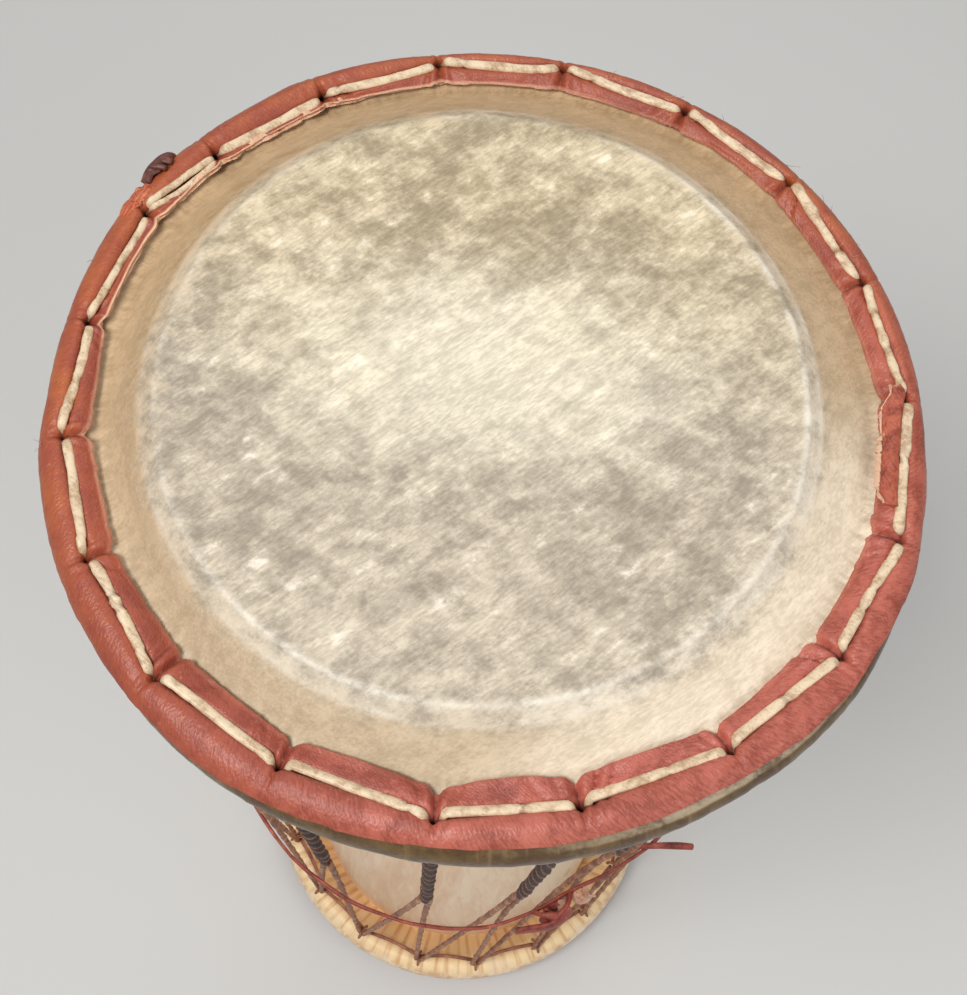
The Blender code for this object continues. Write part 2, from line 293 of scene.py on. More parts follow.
def closeAtAxis(obj, rings, segments):
    for ring in (rings - 1, 0):
        unpick(obj)
        for v in obj.data.vertices[ring * segments:(ring + 1) * segments]:
            v.select = True
        bpy.ops.object.mode_set(mode="EDIT")
        bpy.ops.mesh.select_mode(type="VERT")
        bpy.ops.mesh.merge(type="CENTER")
        bpy.ops.object.mode_set(mode="OBJECT")


def joinEnds(obj, rings, segments):
    # bridge the first and last rings of a hoop-shaped piece
    unpick(obj)
    last = (rings - 1) * segments
    for e in obj.data.edges:
        a, b = e.vertices
        e.select = (a < segments and b < segments) or (a >= last and b >= last)
    for v in obj.data.vertices:
        v.select = v.index < segments or v.index >= last
    bpy.ops.object.mode_set(mode="EDIT")
    bpy.ops.mesh.select_mode(type="EDGE")
    bpy.ops.mesh.bridge_edge_loops()
    bpy.ops.object.mode_set(mode="OBJECT")


def outwardNormals(obj):
    bpy.context.view_layer.objects.active = obj
    bpy.ops.object.mode_set(mode="EDIT")
    bpy.ops.mesh.select_all(action="SELECT")
    bpy.ops.mesh.normals_make_consistent(inside=False)
    bpy.ops.object.mode_set(mode="OBJECT")


def faceTowards(obj, way):
    # an open sheet's faces turned up (1) or down (-1)
    if sum((face.normal.z for face in obj.data.polygons), 0.0) * way < 0:
        obj.data.flip_normals()


def pick(obj):
    deselect()
    obj.select_set(True)
    bpy.context.view_layer.objects.active = obj


def smoothed(obj, angle=None):
    pick(obj)
    if angle is None:
        bpy.ops.object.shade_smooth()
    else:
        bpy.ops.object.shade_smooth_by_angle(angle=radians(angle))


def setMasks(obj, **masks):
    for name, values in masks.items():
        obj.data.attributes.new(name, "FLOAT", "POINT").data.foreach_set("value", values)


def finishSheet(obj, maps, way, thickness, materials, replaced, softness):
    # wall, materials and smoothing of a strap modelled as one layer
    setSurfaceMap(obj, maps)
    outwardNormals(obj)
    faceTowards(obj, way)
    wall = obj.modifiers.new("thickness", "SOLIDIFY")
    wall.thickness, wall.offset, wall.material_offset_rim = thickness, -1, len(materials) - 1
    finishPiece(obj, materials, "red_leather", replaced)
    applyAll(obj)
    smoothed(obj, softness)


def setSurfaceMap(obj, places):
    # uv in metres, from (along, across) of each vertex
    layer = obj.data.uv_layers.new(name="surface")
    for loop in obj.data.loops:
        layer.data[loop.index].uv = places[loop.vertex_index]


def applyAll(obj):
    pick(obj)
    for modifier in list(obj.modifiers):
        bpy.ops.object.modifier_apply(modifier=modifier.name)


def finishPiece(obj, materials, slot, *replaced):
    obj.data.materials.clear()
    for mat in materials:
        obj.data.materials.append(mat)
    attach(obj, "root")
    if replaced:
        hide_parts(*replaced)


# cords: rings of points joined into tubes, with a uv map that runs along them

def sweepRings(points, ups, section):
    # section(i) gives the (side, up) offsets of the cord's outline at point i
    rings, last = [], len(points) - 1
    for i, p in enumerate(points):
        along = (points[min(i + 1, last)] - points[max(i - 1, 0)]).normalized()
        side = along.cross(ups[i]).normalized()
        up = side.cross(along)
        rings.append([p + side * a + up * b for a, b in section(i)])
    return rings


def tubeObject(name, strands, masks=None):
    verts, faces, maps, marks = [], [], [], []
    for n, rings in enumerate(strands):
        sides, start, run = len(rings[0]), len(verts), 0.0
        for i, ring in enumerate(rings):
            middle = sum(ring, Vector()) / sides
            if i:
                run += (middle - before).length
            before = middle
            for k, p in enumerate(ring):
                verts.append(p)
                maps.append((k / sides, run + n * 0.37))
                mark = masks[n][i] if masks else 0.0
                marks.append(mark[k] if isinstance(mark, list) else mark)
        for i in range(len(rings) - 1):
            for k in range(sides):
                a, b = start + i * sides + k, start + i * sides + (k + 1) % sides
                faces.append((a, b, b + sides, a + sides))
        for i, order in ((0, -1), (len(rings) - 1, 1)):
            tip = len(verts)
            verts.append(sum(rings[i], Vector()) / sides)
            maps.append((0.5, maps[start + i * sides][1]))
            marks.append(marks[start + i * sides])
            ring = [start + i * sides + k for k in range(sides)]
            for a, b in zip(ring, ring[1:] + ring[:1]):
                faces.append((a, b, tip) if order > 0 else (b, a, tip))
    mesh = bpy.data.meshes.new(name)
    mesh.from_pydata(verts, [], faces)
    obj = bpy.data.objects.new(name, mesh)
    bpy.context.collection.objects.link(obj)
    setSurfaceMap(obj, maps)
    setMasks(obj, dark=marks)
    outwardNormals(obj)
    smoothed(obj)
    return obj


def throughPoints(points, step):
    # even points on a smooth curve through the given ones
    out = []
    pts = [2 * points[0] - points[1]] + list(points) + [2 * points[-1] - points[-2]]
    for p0, p1, p2, p3 in zip(pts, pts[1:], pts[2:], pts[3:]):
        count = max(2, round((p2 - p1).length / step))
        for i in range(count):
            t = i / count
            out.append(0.5 * ((2 * p1) + (p2 - p0) * t + (2 * p0 - 5 * p1 + 4 * p2 - p3) * t ** 2
                              + (3 * p1 - p0 - 3 * p2 + p3) * t ** 3))
    return out + [points[-1].copy()]


def ovalSection(width, height, turn, sides, power=2.0):
    out = []
    for k in range(sides):
        a = 2 * pi * k / sides
        c, s = cos(a), sin(a)
        x = abs(c) ** (2 / power) * (1 if c >= 0 else -1) * width / 2
        y = abs(s) ** (2 / power) * (1 if s >= 0 else -1) * height / 2
        out.append((x * cos(turn) - y * sin(turn), x * sin(turn) + y * cos(turn)))
    return out


# shader helpers

def feed(tree, made, values):
    for key, value in values.items():
        if isinstance(value, bpy.types.NodeSocket):
            tree.links.new(value, made.inputs[key])
        else:
            made.inputs[key].default_value = value
    return made.outputs


def addNode(tree, kind, inputs, **settings):
    made = tree.nodes.new("ShaderNode" + kind)
    for key, value in settings.items():
        setattr(made, key, value)
    return feed(tree, made, inputs)


def objectPlace(tree):
    return addNode(tree, "TexCoord", {})["Object"]


def surfacePlace(tree):
    return addNode(tree, "UVMap", {}, uv_map="surface")["UV"]


def noiseTone(tree, where, scale, detail, roughness, distortion=0.0):
    return addNode(tree, "TexNoise", {"Vector": where, "Scale": scale, "Detail": detail,
                                      "Roughness": roughness, "Distortion": distortion})["Fac"]


def placed(tree, where, scale, location=(0, 0, 0), rotation=(0, 0, 0), kind="POINT"):
    return addNode(tree, "Mapping", {"Vector": where, "Location": location, "Rotation": rotation,
                                     "Scale": scale}, vector_type=kind)["Vector"]


def ranged(tree, value, low, high, toLow=0.0, toHigh=1.0):
    return addNode(tree, "MapRange", {"Value": value, "From Min": low, "From Max": high, "To Min": toLow,
                                      "To Max": toHigh}, interpolation_type="SMOOTHSTEP")["Result"]


def plus(tree, a, b):
    return addNode(tree, "Math", {0: a, 1: b}, operation="ADD")[0]


def times(tree, a, b):
    return addNode(tree, "Math", {0: a, 1: b}, operation="MULTIPLY")[0]


def divided(tree, a, b):
    return addNode(tree, "Math", {0: a, 1: b}, operation="DIVIDE")[0]


def timesPlus(tree, a, b, c):
    return addNode(tree, "Math", {0: a, 1: b, 2: c}, operation="MULTIPLY_ADD")[0]


def vectorMaths(tree, operation, inputs):
    return addNode(tree, "VectorMath", inputs, operation=operation)


def towards(tree, here, way):
    return vectorMaths(tree, "DOT_PRODUCT", {0: here, 1: way})["Value"]


def blend(tree, share, a, b, mode="MIX"):
    return addNode(tree, "Mix", {0: share, 6: a, 7: b}, data_type="RGBA", blend_type=mode)[2]


def ramp(tree, value, stops):
    made = tree.nodes.new("ShaderNodeValToRGB")
    made.color_ramp.interpolation = "EASE"
    for element, (place, colour) in zip(made.color_ramp.elements, stops):
        element.position, element.color = place, colour
    for place, colour in stops[2:]:
        made.color_ramp.elements.new(place).color = colour
    return feed(tree, made, {"Fac": value})["Color"]


def mask(tree, name):
    return addNode(tree, "Attribute", {}, attribute_name=name)["Fac"]


def newMaterial(name, roughness):
    mat = bpy.data.materials.new(name)
    mat.use_nodes = True
    shader = mat.node_tree.nodes["Principled BSDF"]
    shader.inputs["Roughness"].default_value = roughness
    return mat, mat.node_tree, shader


def surfaced(tree, shader, colour, height, distance, strength):
    # the colour and the relief of a finished surface
    bump = addNode(tree, "Bump", {"Height": height, "Distance": distance, "Strength": strength})
    feed(tree, shader, {"Base Color": colour, "Normal": bump["Normal"]})


def newGroup(name, inputs, outputs):
    # numbers by name, after a vector that says where
    group = bpy.data.node_groups.new(name, "ShaderNodeTree")
    group.interface.new_socket("Vector", in_out="INPUT", socket_type="NodeSocketVector")
    for labels, way in ((inputs, "INPUT"), (outputs, "OUTPUT")):
        for label in labels:
            group.interface.new_socket(label, in_out=way, socket_type="NodeSocketFloat")
    return group, group.nodes.new("NodeGroupInput").outputs, group.nodes.new("NodeGroupOutput")


def useGroup(tree, group, inputs):
    made = tree.nodes.new("ShaderNodeGroup")
    made.node_tree = group
    return feed(tree, made, inputs)


def hideGrainGroup():
    # leather or skin grain: long fibres one way, with pores between them
    group, given, end = newGroup("hideGrain", ("Fibre Size", "Pore Size", "Fibre Turn"),
                                 ("Tone", "Height"))
    turn = addNode(group, "CombineXYZ", {"Z": given["Fibre Turn"]})[0]
    turned = addNode(group, "VectorRotate", {"Vector": given["Vector"], "Rotation": turn},
                     rotation_type="EULER_XYZ")[0]
    stretched = placed(group, turned, scale=(0.28, 1, 1))
    fibre = noiseTone(group, stretched, divided(group, 1.0, given["Fibre Size"]), 2.0, 0.6)
    pore = noiseTone(group, given["Vector"], divided(group, 1.0, given["Pore Size"]), 0.0, 0.5)
    feed(group, end, {"Tone": fibre, "Height": timesPlus(group, pore, 0.6, times(group, fibre, 0.9))})
    return group


def roundFoldsGroup():
    # streaks that run away from the drum's axis, the same all the way round
    group, given, end = newGroup("roundFolds", ("Folds", "Drift"), ("Tone",))
    flat = vectorMaths(group, "MULTIPLY", {0: given["Vector"], 1: (1, 1, 0)})[0]
    rim = vectorMaths(group, "NORMALIZE", {0: flat})[0]
    wide = vectorMaths(group, "SCALE", {0: rim, "Scale": given["Folds"]})[0]
    length = vectorMaths(group, "LENGTH", {0: flat})["Value"]
    lift = addNode(group, "CombineXYZ", {"Z": times(group, length, given["Drift"])})[0]
    where = vectorMaths(group, "ADD", {0: wide, 1: lift})[0]
    feed(group, end, {"Tone": noiseTone(group, where, 1.0, 3.0, 0.6)})
    return group


hideGrain = hideGrainGroup()
roundFolds = roundFoldsGroup()


def grainOf(tree, where, fibre, pore, turn):
    return useGroup(tree, hideGrain, {"Vector": where, "Fibre Size": fibre, "Pore Size": pore,
                                      "Fibre Turn": turn})


print("helpers ready")


# playing skin: mottled goatskin with a bright doubled ring over the bearing edge

skinLook = {"grey": linear(158, 145, 127), "cream": linear(208, 194, 172),
            "olive": linear(160, 143, 113), "yellow": linear(222, 205, 172),
            "bright": linear(240, 231, 206), "ring": linear(246, 238, 222),
            "tan": linear(198, 168, 130), "paleTan": linear(198, 177, 148),
            "litCornerCream": linear(236, 221, 196), "grimeAndShade": linear(140, 108, 66),
            "roll": linear(84, 60, 36), "rollPale": linear(152, 120, 86),
            "streakTurn": radians(-40), "mottle": 126.0}


def drumSkinMaterial():
    look = skinLook
    mat, tree, shader = newMaterial("drumSkin", 0.42)
    here = objectPlace(tree)
    reach = mask(tree, "reach")
    turned = placed(tree, here, rotation=(0, 0, look["streakTurn"]), scale=(0.85, 1.1, 1))
    patches = noiseTone(tree, turned, look["mottle"], 5.0, 0.74, 0.1)
    broad = noiseTone(tree, here, 19.0, 2.0, 0.5)
    tone = timesPlus(tree, broad, 0.28, times(tree, patches, 0.72))
    low = ramp(tree, tone, [(0.37, look["grey"]), (0.64, look["cream"])])
    high = ramp(tree, tone, [(0.37, look["olive"]), (0.65, look["yellow"])])
    y = addNode(tree, "SeparateXYZ", {0: here})["Y"]
    colour = blend(tree, ranged(tree, timesPlus(tree, broad, 0.09, y), 0.025, 0.10), low, high)
    # painted highlight, partly real: a broad bright band across the middle of the head stands for the
    # overhead light's reflection on the skin and for the paler worn playing centre
    middle = placed(tree, here, location=(-0.002, 0.004, 0), scale=(0.064, 0.034, 1), kind="TEXTURE")
    flat = vectorMaths(tree, "MULTIPLY", {0: middle, 1: (1, 1, 0)})[0]
    away = plus(tree, vectorMaths(tree, "LENGTH", {0: flat})["Value"], 0.45)
    wornCentreAndSheen = ranged(tree, timesPlus(tree, patches, -0.9, away), 1.25, 0.15, 0.0, 0.62)
    colour = blend(tree, wornCentreAndSheen, colour, look["bright"])
    grain = grainOf(tree, here, 0.0007, 0.0011, look["streakTurn"])
    wide = grainOf(tree, here, 0.0026, 0.004, look["streakTurn"])
    streaks = timesPlus(tree, wide["Tone"], 0.45, times(tree, grain["Tone"], 0.55))
    shade = ramp(tree, streaks, [(0.38, (0.84, 0.83, 0.82, 1)), (0.62, (1.12, 1.12, 1.11, 1))])
    colour = blend(tree, 1.0, colour, shade, "MULTIPLY")
    strokes = times(tree, ranged(tree, wide["Tone"], 0.56, 0.72), ranged(tree, patches, 0.48, 0.66))
    colour = blend(tree, times(tree, strokes, 0.6), colour, look["ring"])

    # ring, tan border and roll, by the distance from the middle along the skin
    folds = useGroup(tree, roundFolds, {"Vector": here, "Folds": 46.0, "Drift": 90.0})["Tone"]
    # border tan, paler towards the bottom; towards the lower-right corner it is painted light,
    # cream-bright where the light falls on the slope
    downwards = towards(tree, here, (1.5, -7.5, 0))
    border = blend(tree, ranged(tree, downwards, -0.6, 0.75), look["tan"], look["paleTan"])
    corner = towards(tree, here, (8.0, -7.0, 0))
    border = blend(tree, ranged(tree, timesPlus(tree, broad, 0.4, corner), 0.75, 1.25), border,
                   look["litCornerCream"])
    shade = ramp(tree, timesPlus(tree, streaks, 0.6, times(tree, patches, 0.5)),
                 [(0.42, (0.83, 0.81, 0.77, 1)), (0.68, (1.10, 1.10, 1.10, 1))])
    border = blend(tree, 1.0, border, shade, "MULTIPLY")
    wander = timesPlus(tree, patches, 0.024, reach)
    colour = blend(tree, ranged(tree, wander, 0.0900, 0.1030), colour, border)
    # painted shade: the slope just outside the ring is darkened brown on the upper-left side
    grimeAndShade = times(tree, ranged(tree, corner, 0.1, -0.9), ranged(tree, patches, 0.44, 0.60))
    hollow = times(tree, ranged(tree, reach, 0.087, 0.089), ranged(tree, reach, 0.097, 0.092))
    colour = blend(tree, times(tree, times(tree, hollow, grimeAndShade), 0.45), colour, look["grimeAndShade"])
    # pale ring over the bearing edge: skin worn pale over the edge, with painted highlight along both
    # ridges
    ringTone = times(tree, mask(tree, "ring"), ranged(tree, tone, 0.36, 0.56, 0.25, 1.0))
    colour = blend(tree, ringTone, colour, look["ring"])
    # real grime streaks by the band, in the same brown
    grime = times(tree, ranged(tree, reach, 0.0985, 0.104), ranged(tree, folds, 0.42, 0.66))
    colour = blend(tree, times(tree, grime, 0.32), colour, look["grimeAndShade"])
    rollTone = blend(tree, ranged(tree, folds, 0.50, 0.78, 0.0, 0.55), look["roll"], look["rollPale"])
    rollTone = blend(tree, ranged(tree, patches, 0.42, 0.62, 0.0, 0.45), rollTone, linear(128, 104, 60))
    colour = blend(tree, ranged(tree, reach, 0.106, 0.109), colour, rollTone)
    # painted highlight: a broken pale line along the roll's top near the band, on the lower-right side
    # where the light glints on it, partly wear
    highlightAndWear = times(tree, ranged(tree, reach, 0.1202, 0.1191), ranged(tree, corner, 0.8, 1.3))
    highlightAndWear = times(tree, highlightAndWear, ranged(tree, patches, 0.38, 0.6, 0.12, 0.6))
    highlightAndWear = times(tree, highlightAndWear, ranged(tree, reach, 0.1140, 0.1175))
    colour = blend(tree, highlightAndWear, colour, linear(226, 206, 176))
    feed(tree, shader, {"Roughness": timesPlus(tree, ranged(tree, reach, 0.105, 0.109), -0.14,
                                               ranged(tree, tone, 0.3, 0.8, 0.52, 0.42))})
    surfaced(tree, shader, colour, timesPlus(tree, wide["Tone"], 0.6, grain["Height"]), 0.00020, 0.55)
    return mat


headPiece = {"segments": 384, "flatStep": 0.0030, "flatRadius": 0.073, "waves": 0.00035,
             "ripples": 0.00015, "ringHeight": 0.00030, "ringGap": 0.0040, "ringWidth": 0.0014,
             "ringRadius": 0.0812, "slopeFolds": 0.00010, "rollFolds": 0.00022, "holeDip": 0.0050,
             "seat": 0.0007}
# strength of the doubled ring round the head (degrees, share)
ringStrength = [(0, 0.8), (40, 0.75), (62, 0.35), (78, 0.15), (92, 0.5), (110, 0.15), (135, 0.3),
                (165, 0.35), (190, 0.3), (215, 0.45), (250, 0.5), (300, 0.55), (330, 0.45), (360, 0.8)]


def ringOffset(angle):
    # the bearing edge lies a little off the rim's centre
    a = radians(angle)
    return -0.0016 * cos(a) - 0.0014 * sin(a) + 0.0007 * roundRipple(angle, 14)


def makeUpperHead():
    piece, rim = headPiece, upperRim
    outer = rimProfile(rim, skin["endDegrees"])
    flatEnd = outer[0][0]
    rings = []
    r = skin["axisRadius"]
    while r < piece["flatRadius"]:
        rings.append((r, rim["rise"]))
        r += piece["flatStep"]
    fine = 12
    rings += [(between(piece["flatRadius"], flatEnd, i / fine), rim["rise"]) for i in range(fine)]
    topCount = len(rings)
    rings += outer
    endCount = len(rings)
    rings += underSkin(rim, outer[-1], (0.3, 0.65, 1.0), (0.06, 0.03))
    obj = turnRings("upperHead", [(r, rim["plane"] + z) for r, z in rings], piece["segments"])
    reaches = runAlong(rings)
    normals = [profileNormal(rings, i) for i in range(len(rings))]
    zero = next(reaches[i] for i in range(topCount, endCount) if rings[i][0] >= stitchRadius(rim))
    ringMask, reachMask = [], []
    for v in obj.data.vertices:
        ring = v.index // piece["segments"]
        angle = degrees(atan2(v.co.y, v.co.x)) % 360
        r, z = rings[ring]
        reach = reaches[ring]
        ringTone = 0.0
        if ring < endCount:
            x, y = v.co.x, v.co.y
            lift = piece["waves"] * ripple(x * 34, y * 34)
            lift += piece["ripples"] * ripple(x * 130, y * 130, 4)
            lift *= 1 - ease(r, 0.072, 0.084)
            strength = atAngle(ringStrength, angle) * (0.75 + 0.5 * roundRipple(angle, 60))
            inner, second = r - piece["ringRadius"], reach - piece["ringRadius"] - piece["ringGap"]
            ridges = hump(inner, piece["ringWidth"]) + hump(second, piece["ringWidth"])
            lift += piece["ringHeight"] * strength * ridges
            # ring mask: worn pale skin and painted highlight along both ridges
            ringTone = clamp(1.1 * strength) * max(0.85 * hump(inner, 0.0012), hump(second, 0.0012))
            folds = roundRipple(angle, 150, r * 40) + 0.6 * roundRipple(angle, 330, r * 60)
            if reach < zero + 0.004:
                lift += piece["slopeFolds"] * folds * ease(r, 0.086, 0.097)
            else:
                folds = roundRipple(angle, 210, reach * 90) + 0.5 * roundRipple(angle, 60, 2)
                lift += piece["rollFolds"] * folds
            s = reach - zero
            along = radians(nearestHole(angle)[0]) * r
            lift -= piece["holeDip"] * hump(hypot(along, s - grooveShift(angle)), 0.0033)
            lift -= piece["seat"] * hump(s, 0.003) + sink(angle, s)
            r += normals[ring][0] * lift
            z += normals[ring][1] * lift
        r += drift(angle, r) + ringOffset(angle) * ease(r, 0.070, 0.081) * (1 - ease(r, 0.086, 0.097))
        v.co = polar(r, angle, rim["plane"] + z)
        ringMask.append(ringTone)
        reachMask.append(reach)
    setMasks(obj, ring=ringMask, reach=reachMask)
    closeAtAxis(obj, len(rings), piece["segments"])
    outwardNormals(obj)
    smoothed(obj, 60)
    finishPiece(obj, [drumSkinMaterial()], "upper_skin", "upper_head")


makeUpperHead()
print("upper head done")


# red leather band over the upper roll, gathered at each stitch hole

bandPiece = {"thickness": 0.0013, "innerRows": 18, "outerRows": 13, "perStitch": 50, "bridge": 0.62,
             "innerPuff": 0.0009, "outerPuff": 0.0006, "groove": 0.0013, "grooveWidth": 0.0012,
             "pinch": 0.0011, "pit": 0.0034, "pitWidth": 0.0009, "fold": 0.0011,
             "edgeWander": 0.00035, "notch": 0.0012, "curl": 0.0013, "mapRadius": 0.107}
# lower edge of the band on the roll, degrees above level, round the rim
bandHem = [(0, 24), (30, 14), (90, 12), (150, 12), (180, 18), (215, 26), (235, 36), (255, 47),
           (270, 56), (300, 60), (325, 50), (342, 36), (360, 24)]
# where the inner edge stands up and shows its pale cut side
edgeCurl = [(0, 0.15), (30, 0.1), (70, 0.15), (92, 0.45), (112, 0.7), (125, 0.9), (150, 1.0),
            (168, 1.0), (176, 0.35), (200, 0.35), (210, 0.1), (300, 0.0), (340, 0.1), (360, 0.15)]

leatherLook = {"red": linear(157, 73, 53), "deep": linear(136, 60, 44), "orange": linear(180, 97, 52),
               "pink": linear(196, 108, 94), "dark": linear(44, 14, 12), "pale": linear(228, 182, 148),
               "cut": linear(224, 180, 146)}


def redLeatherMaterial(name, edge=False):
    look = leatherLook
    mat, tree, shader = newMaterial(name, 0.45)
    here = objectPlace(tree)
    flat = surfacePlace(tree)
    grain = grainOf(tree, flat, 0.00055, 0.0006, radians(-52))
    broad = noiseTone(tree, here, 95.0, 5.0, 0.6, 0.4)
    tone = timesPlus(tree, broad, 0.7, times(tree, grain["Tone"], 0.4))
    red = ramp(tree, tone, [(0.40, look["deep"]), (0.68, look["red"])])
    side = towards(tree, here, (-5.6, 5.6, 0))
    across = addNode(tree, "SeparateXYZ", {0: flat})["Y"]
    far = towards(tree, here, (-1.5, 6.5, 0))
    warm = times(tree, ranged(tree, across, -0.004, 0.004, 0.3, 1.0),
                 ranged(tree, far, -0.5, 0.2, 0.2, 1.0))
    warmTone = blend(tree, ranged(tree, tone, 0.4, 0.7), look["red"], look["orange"])
    colour = blend(tree, warm, red, warmTone)
    sheen = times(tree, ranged(tree, side, 0.0, -0.75), ranged(tree, tone, 0.42, 0.66))
    colour = blend(tree, times(tree, sheen, 0.6), colour, look["pink"])
    # painted shade in fold bottoms, the lace groove and the stitch holes, from the mask
    dark = mask(tree, "dark")
    colour = blend(tree, ranged(tree, dark, 0.05, 1.0, 0.0, 0.97), colour, look["dark"])
    scuff = ranged(tree, noiseTone(tree, here, 420.0, 4.0, 0.7), 0.62, 0.74)
    colour = blend(tree, times(tree, scuff, 0.22), colour, look["pale"])
    frayed = ranged(tree, noiseTone(tree, here, 600.0, 3.0, 0.6), 0.25, 0.45, 0.65, 1.0)
    if edge:
        colour = blend(tree, times(tree, frayed, mask(tree, "pale")), colour, look["cut"])
    else:
        rim = times(tree, ranged(tree, mask(tree, "lip"), 0.74, 0.90), mask(tree, "pale"))
        colour = blend(tree, times(tree, frayed, rim), colour, look["pale"])
    feed(tree, shader, {"Roughness": ranged(tree, tone, 0.3, 0.75, 0.54, 0.38)})
    surfaced(tree, shader, colour, timesPlus(tree, broad, 1.2, grain["Height"]), 0.00028, 0.75)
    return mat


def bandWidth(angle):
    number, after, share = alongStitch(angle)
    atHole, halfWay, atNext = stitches[number][1], stitches[number][2], stitches[after][1]
    width = between(atHole, atNext, share) + (halfWay - (atHole + atNext) / 2) * sin(pi * share) ** 0.7
    width -= 1000 * bandPiece["notch"] * hump(nearestHole(angle)[0], 0.9)
    return width * 0.001 + bandPiece["edgeWander"] * roundRipple(angle, 90)


random.seed(11)
foldMarks = []             # gathers by each hole: place along the rim, height, width
for number in range(stitchCount):
    lively = 1.3 if 4 <= number <= 9 else 0.8
    marks = [(0.0, -1.3, 0.0007), (0.0020, 0.7, 0.0011), (-0.0020, 0.7, 0.0011)]
    for _ in range(7):
        place = random.choice((-1, 1)) * random.uniform(0.0028, 0.0095)
        tall = lively * random.choice((-0.55, 0.45)) * random.uniform(0.5, 1.2)
        marks.append((place, tall, random.uniform(0.0004, 0.0011)))
    foldMarks.append(marks)


def gathers(angle, fan):
    # folds fanning out from the nearest hole: their height, and the painted shade in their bottoms
    gap, hole = nearestHole(angle)
    along = radians(gap) * upperRim["hoop"]
    height = dark = 0.0
    for place, tall, width in foldMarks[hole]:
        x = along - place * (0.8 + 0.6 * fan)
        height += tall * hump(x, width * (1 + 0.4 * fan))
        if tall < 0:
            dark = max(dark, -0.62 * tall * hump(x, width * 0.6))
    return height * bandPiece["fold"], dark, along


def bandTop(angle, t, fromGroove, inner):
    # height over the band's lying surface, and its painted shade
    piece = bandPiece
    fold, shade, along = gathers(angle, t if inner else -0.5 * t)
    gather = 1 - 0.6 * hump(along, 0.0040)
    swell = 0.85 + 0.40 * roundRipple(angle, 26, 5) + 0.22 * roundRipple(angle, 120, 9 + t)
    height = -piece["groove"] * hump(fromGroove, piece["grooveWidth"])
    dome = sin(pi * clamp(t)) ** 0.7
    if inner:
        height += piece["innerPuff"] * swell * gather * dome
        hold = 0.35 + 0.65 * sin(pi * clamp(0.12 + 0.78 * t))
        lift = atAngle(edgeCurl, angle) * ease(t, 0.72, 1.0) * (0.8 + 0.5 * roundRipple(angle, 70, 3))
        height += fold * hold + piece["curl"] * lift
        shade *= 1 - 0.45 * t
    else:
        height += piece["outerPuff"] * swell * gather * dome + 0.55 * fold * (1 - t) ** 1.1
        shade *= 0.7 * (1 - t) ** 1.8
    height += 0.00012 * roundRipple(angle, 420, t * 6)
    return height, max(shade, 0.75 * hump(fromGroove, 0.0009)), along


def bandPoint(angle, s, t, width, groove, height, inner):
    floor = bandPiece["thickness"] + skin["gap"]
    if not inner:
        return onRim("upper", angle, s, floor + height)
    # the strap spans the trough, so it lies between the skin and a straight line over it
    start, end = onRim("upper", angle, groove, floor), onRim("upper", angle, -width, floor)
    base = onRim("upper", angle, s, floor).lerp(start.lerp(end, t), bandPiece["bridge"])
    up = (end - start).cross(polar(1, angle + 90, 0)).normalized()
    return base + up * (height if up.z > 0 else -height)


def makeUpperBand():
    piece = bandPiece
    rows = piece["innerRows"] + piece["outerRows"] + 1
    angles = []
    for k in range(stitchCount):
        start, span = stitchSpan(k)
        for i in range(piece["perStitch"]):
            t = i / piece["perStitch"]
            angles.append(start + span * (t - 0.115 * sin(2 * pi * t)))       # closer by the holes
    segments = len(angles)
    outline = [(0.100 + 0.0005 * i, upperRim["plane"] + 0.02) for i in range(rows)]
    obj = turnRings("upperBand", outline, segments)
    dark, lip, pale, maps = [], [], [], []
    for v in obj.data.vertices:
        row, angle = v.index // segments, angles[v.index % segments]
        groove = grooveShift(angle)
        inner = row < piece["innerRows"]
        if inner:
            t = (1 - row / piece["innerRows"]) ** 0.9
            width = bandWidth(angle)
            s = between(groove, -width, t)
        else:
            t = (row - piece["innerRows"]) / piece["outerRows"]
            hem = skin["stitchInset"] + radians(90 - atAngle(bandHem, angle)) * upperRim["roll"]
            s = between(groove, hem + 0.0003 * roundRipple(angle, 110, 8), t)
        height, shade, along = bandTop(angle, t, s - groove, inner)
        away = hypot(along, s - groove)
        height -= piece["pinch"] * hump(away, 0.0026) + piece["pit"] * hump(away, piece["pitWidth"])
        # painted shade in the stitch hole
        shade = max(shade, 1.4 * hump(away, piece["pitWidth"] * 1.05))
        v.co = bandPoint(angle, s, t, width, groove, height, inner)
        dark.append(clamp(shade))
        lip.append(t if inner else 0.75 * t)
        showing = atAngle(edgeCurl, angle)
        pale.append(showing if inner else 0.8 * ease(showing, 0.2, 0.9))
        maps.append((radians(angle) * piece["mapRadius"], s))
    setMasks(obj, dark=dark, lip=lip, pale=pale)
    materials = [redLeatherMaterial("redLeather"), redLeatherMaterial("redLeatherEdge", True)]
    finishSheet(obj, maps, 1, piece["thickness"], materials, "upper_rim_band", 65)
    return materials


bandLeather = makeUpperBand()
print("upper band done")


# the band's torn end, lying over its beginning at the right

flapPiece = {"from": 6.0, "sweep": -18.0, "outer": 0.0012, "inner": 0.0060, "steps": 90, "rows": 14,
             "lie": 0.0012, "curl": 0.0013, "thickness": 0.0010, "mapRadius": 0.1}


def fleshLeatherMaterial():
    mat, tree, shader = newMaterial("fleshLeather", 0.7)
    here = objectPlace(tree)
    flat = surfacePlace(tree)
    grain = grainOf(tree, flat, 0.0005, 0.0005, 0.4)
    broad = noiseTone(tree, here, 260.0, 4.0, 0.7)
    tone = timesPlus(tree, broad, 0.8, times(tree, grain["Tone"], 0.3))
    colour = ramp(tree, tone, [(0.40, linear(126, 54, 40)), (0.66, linear(180, 94, 70))])
    lip = ranged(tree, mask(tree, "lip"), 0.35, 0.95, 0.0, 0.85)
    colour = blend(tree, lip, colour, linear(222, 186, 154))
    surfaced(tree, shader, colour, timesPlus(tree, broad, 1.4, grain["Height"]), 0.0003, 0.8)
    return mat


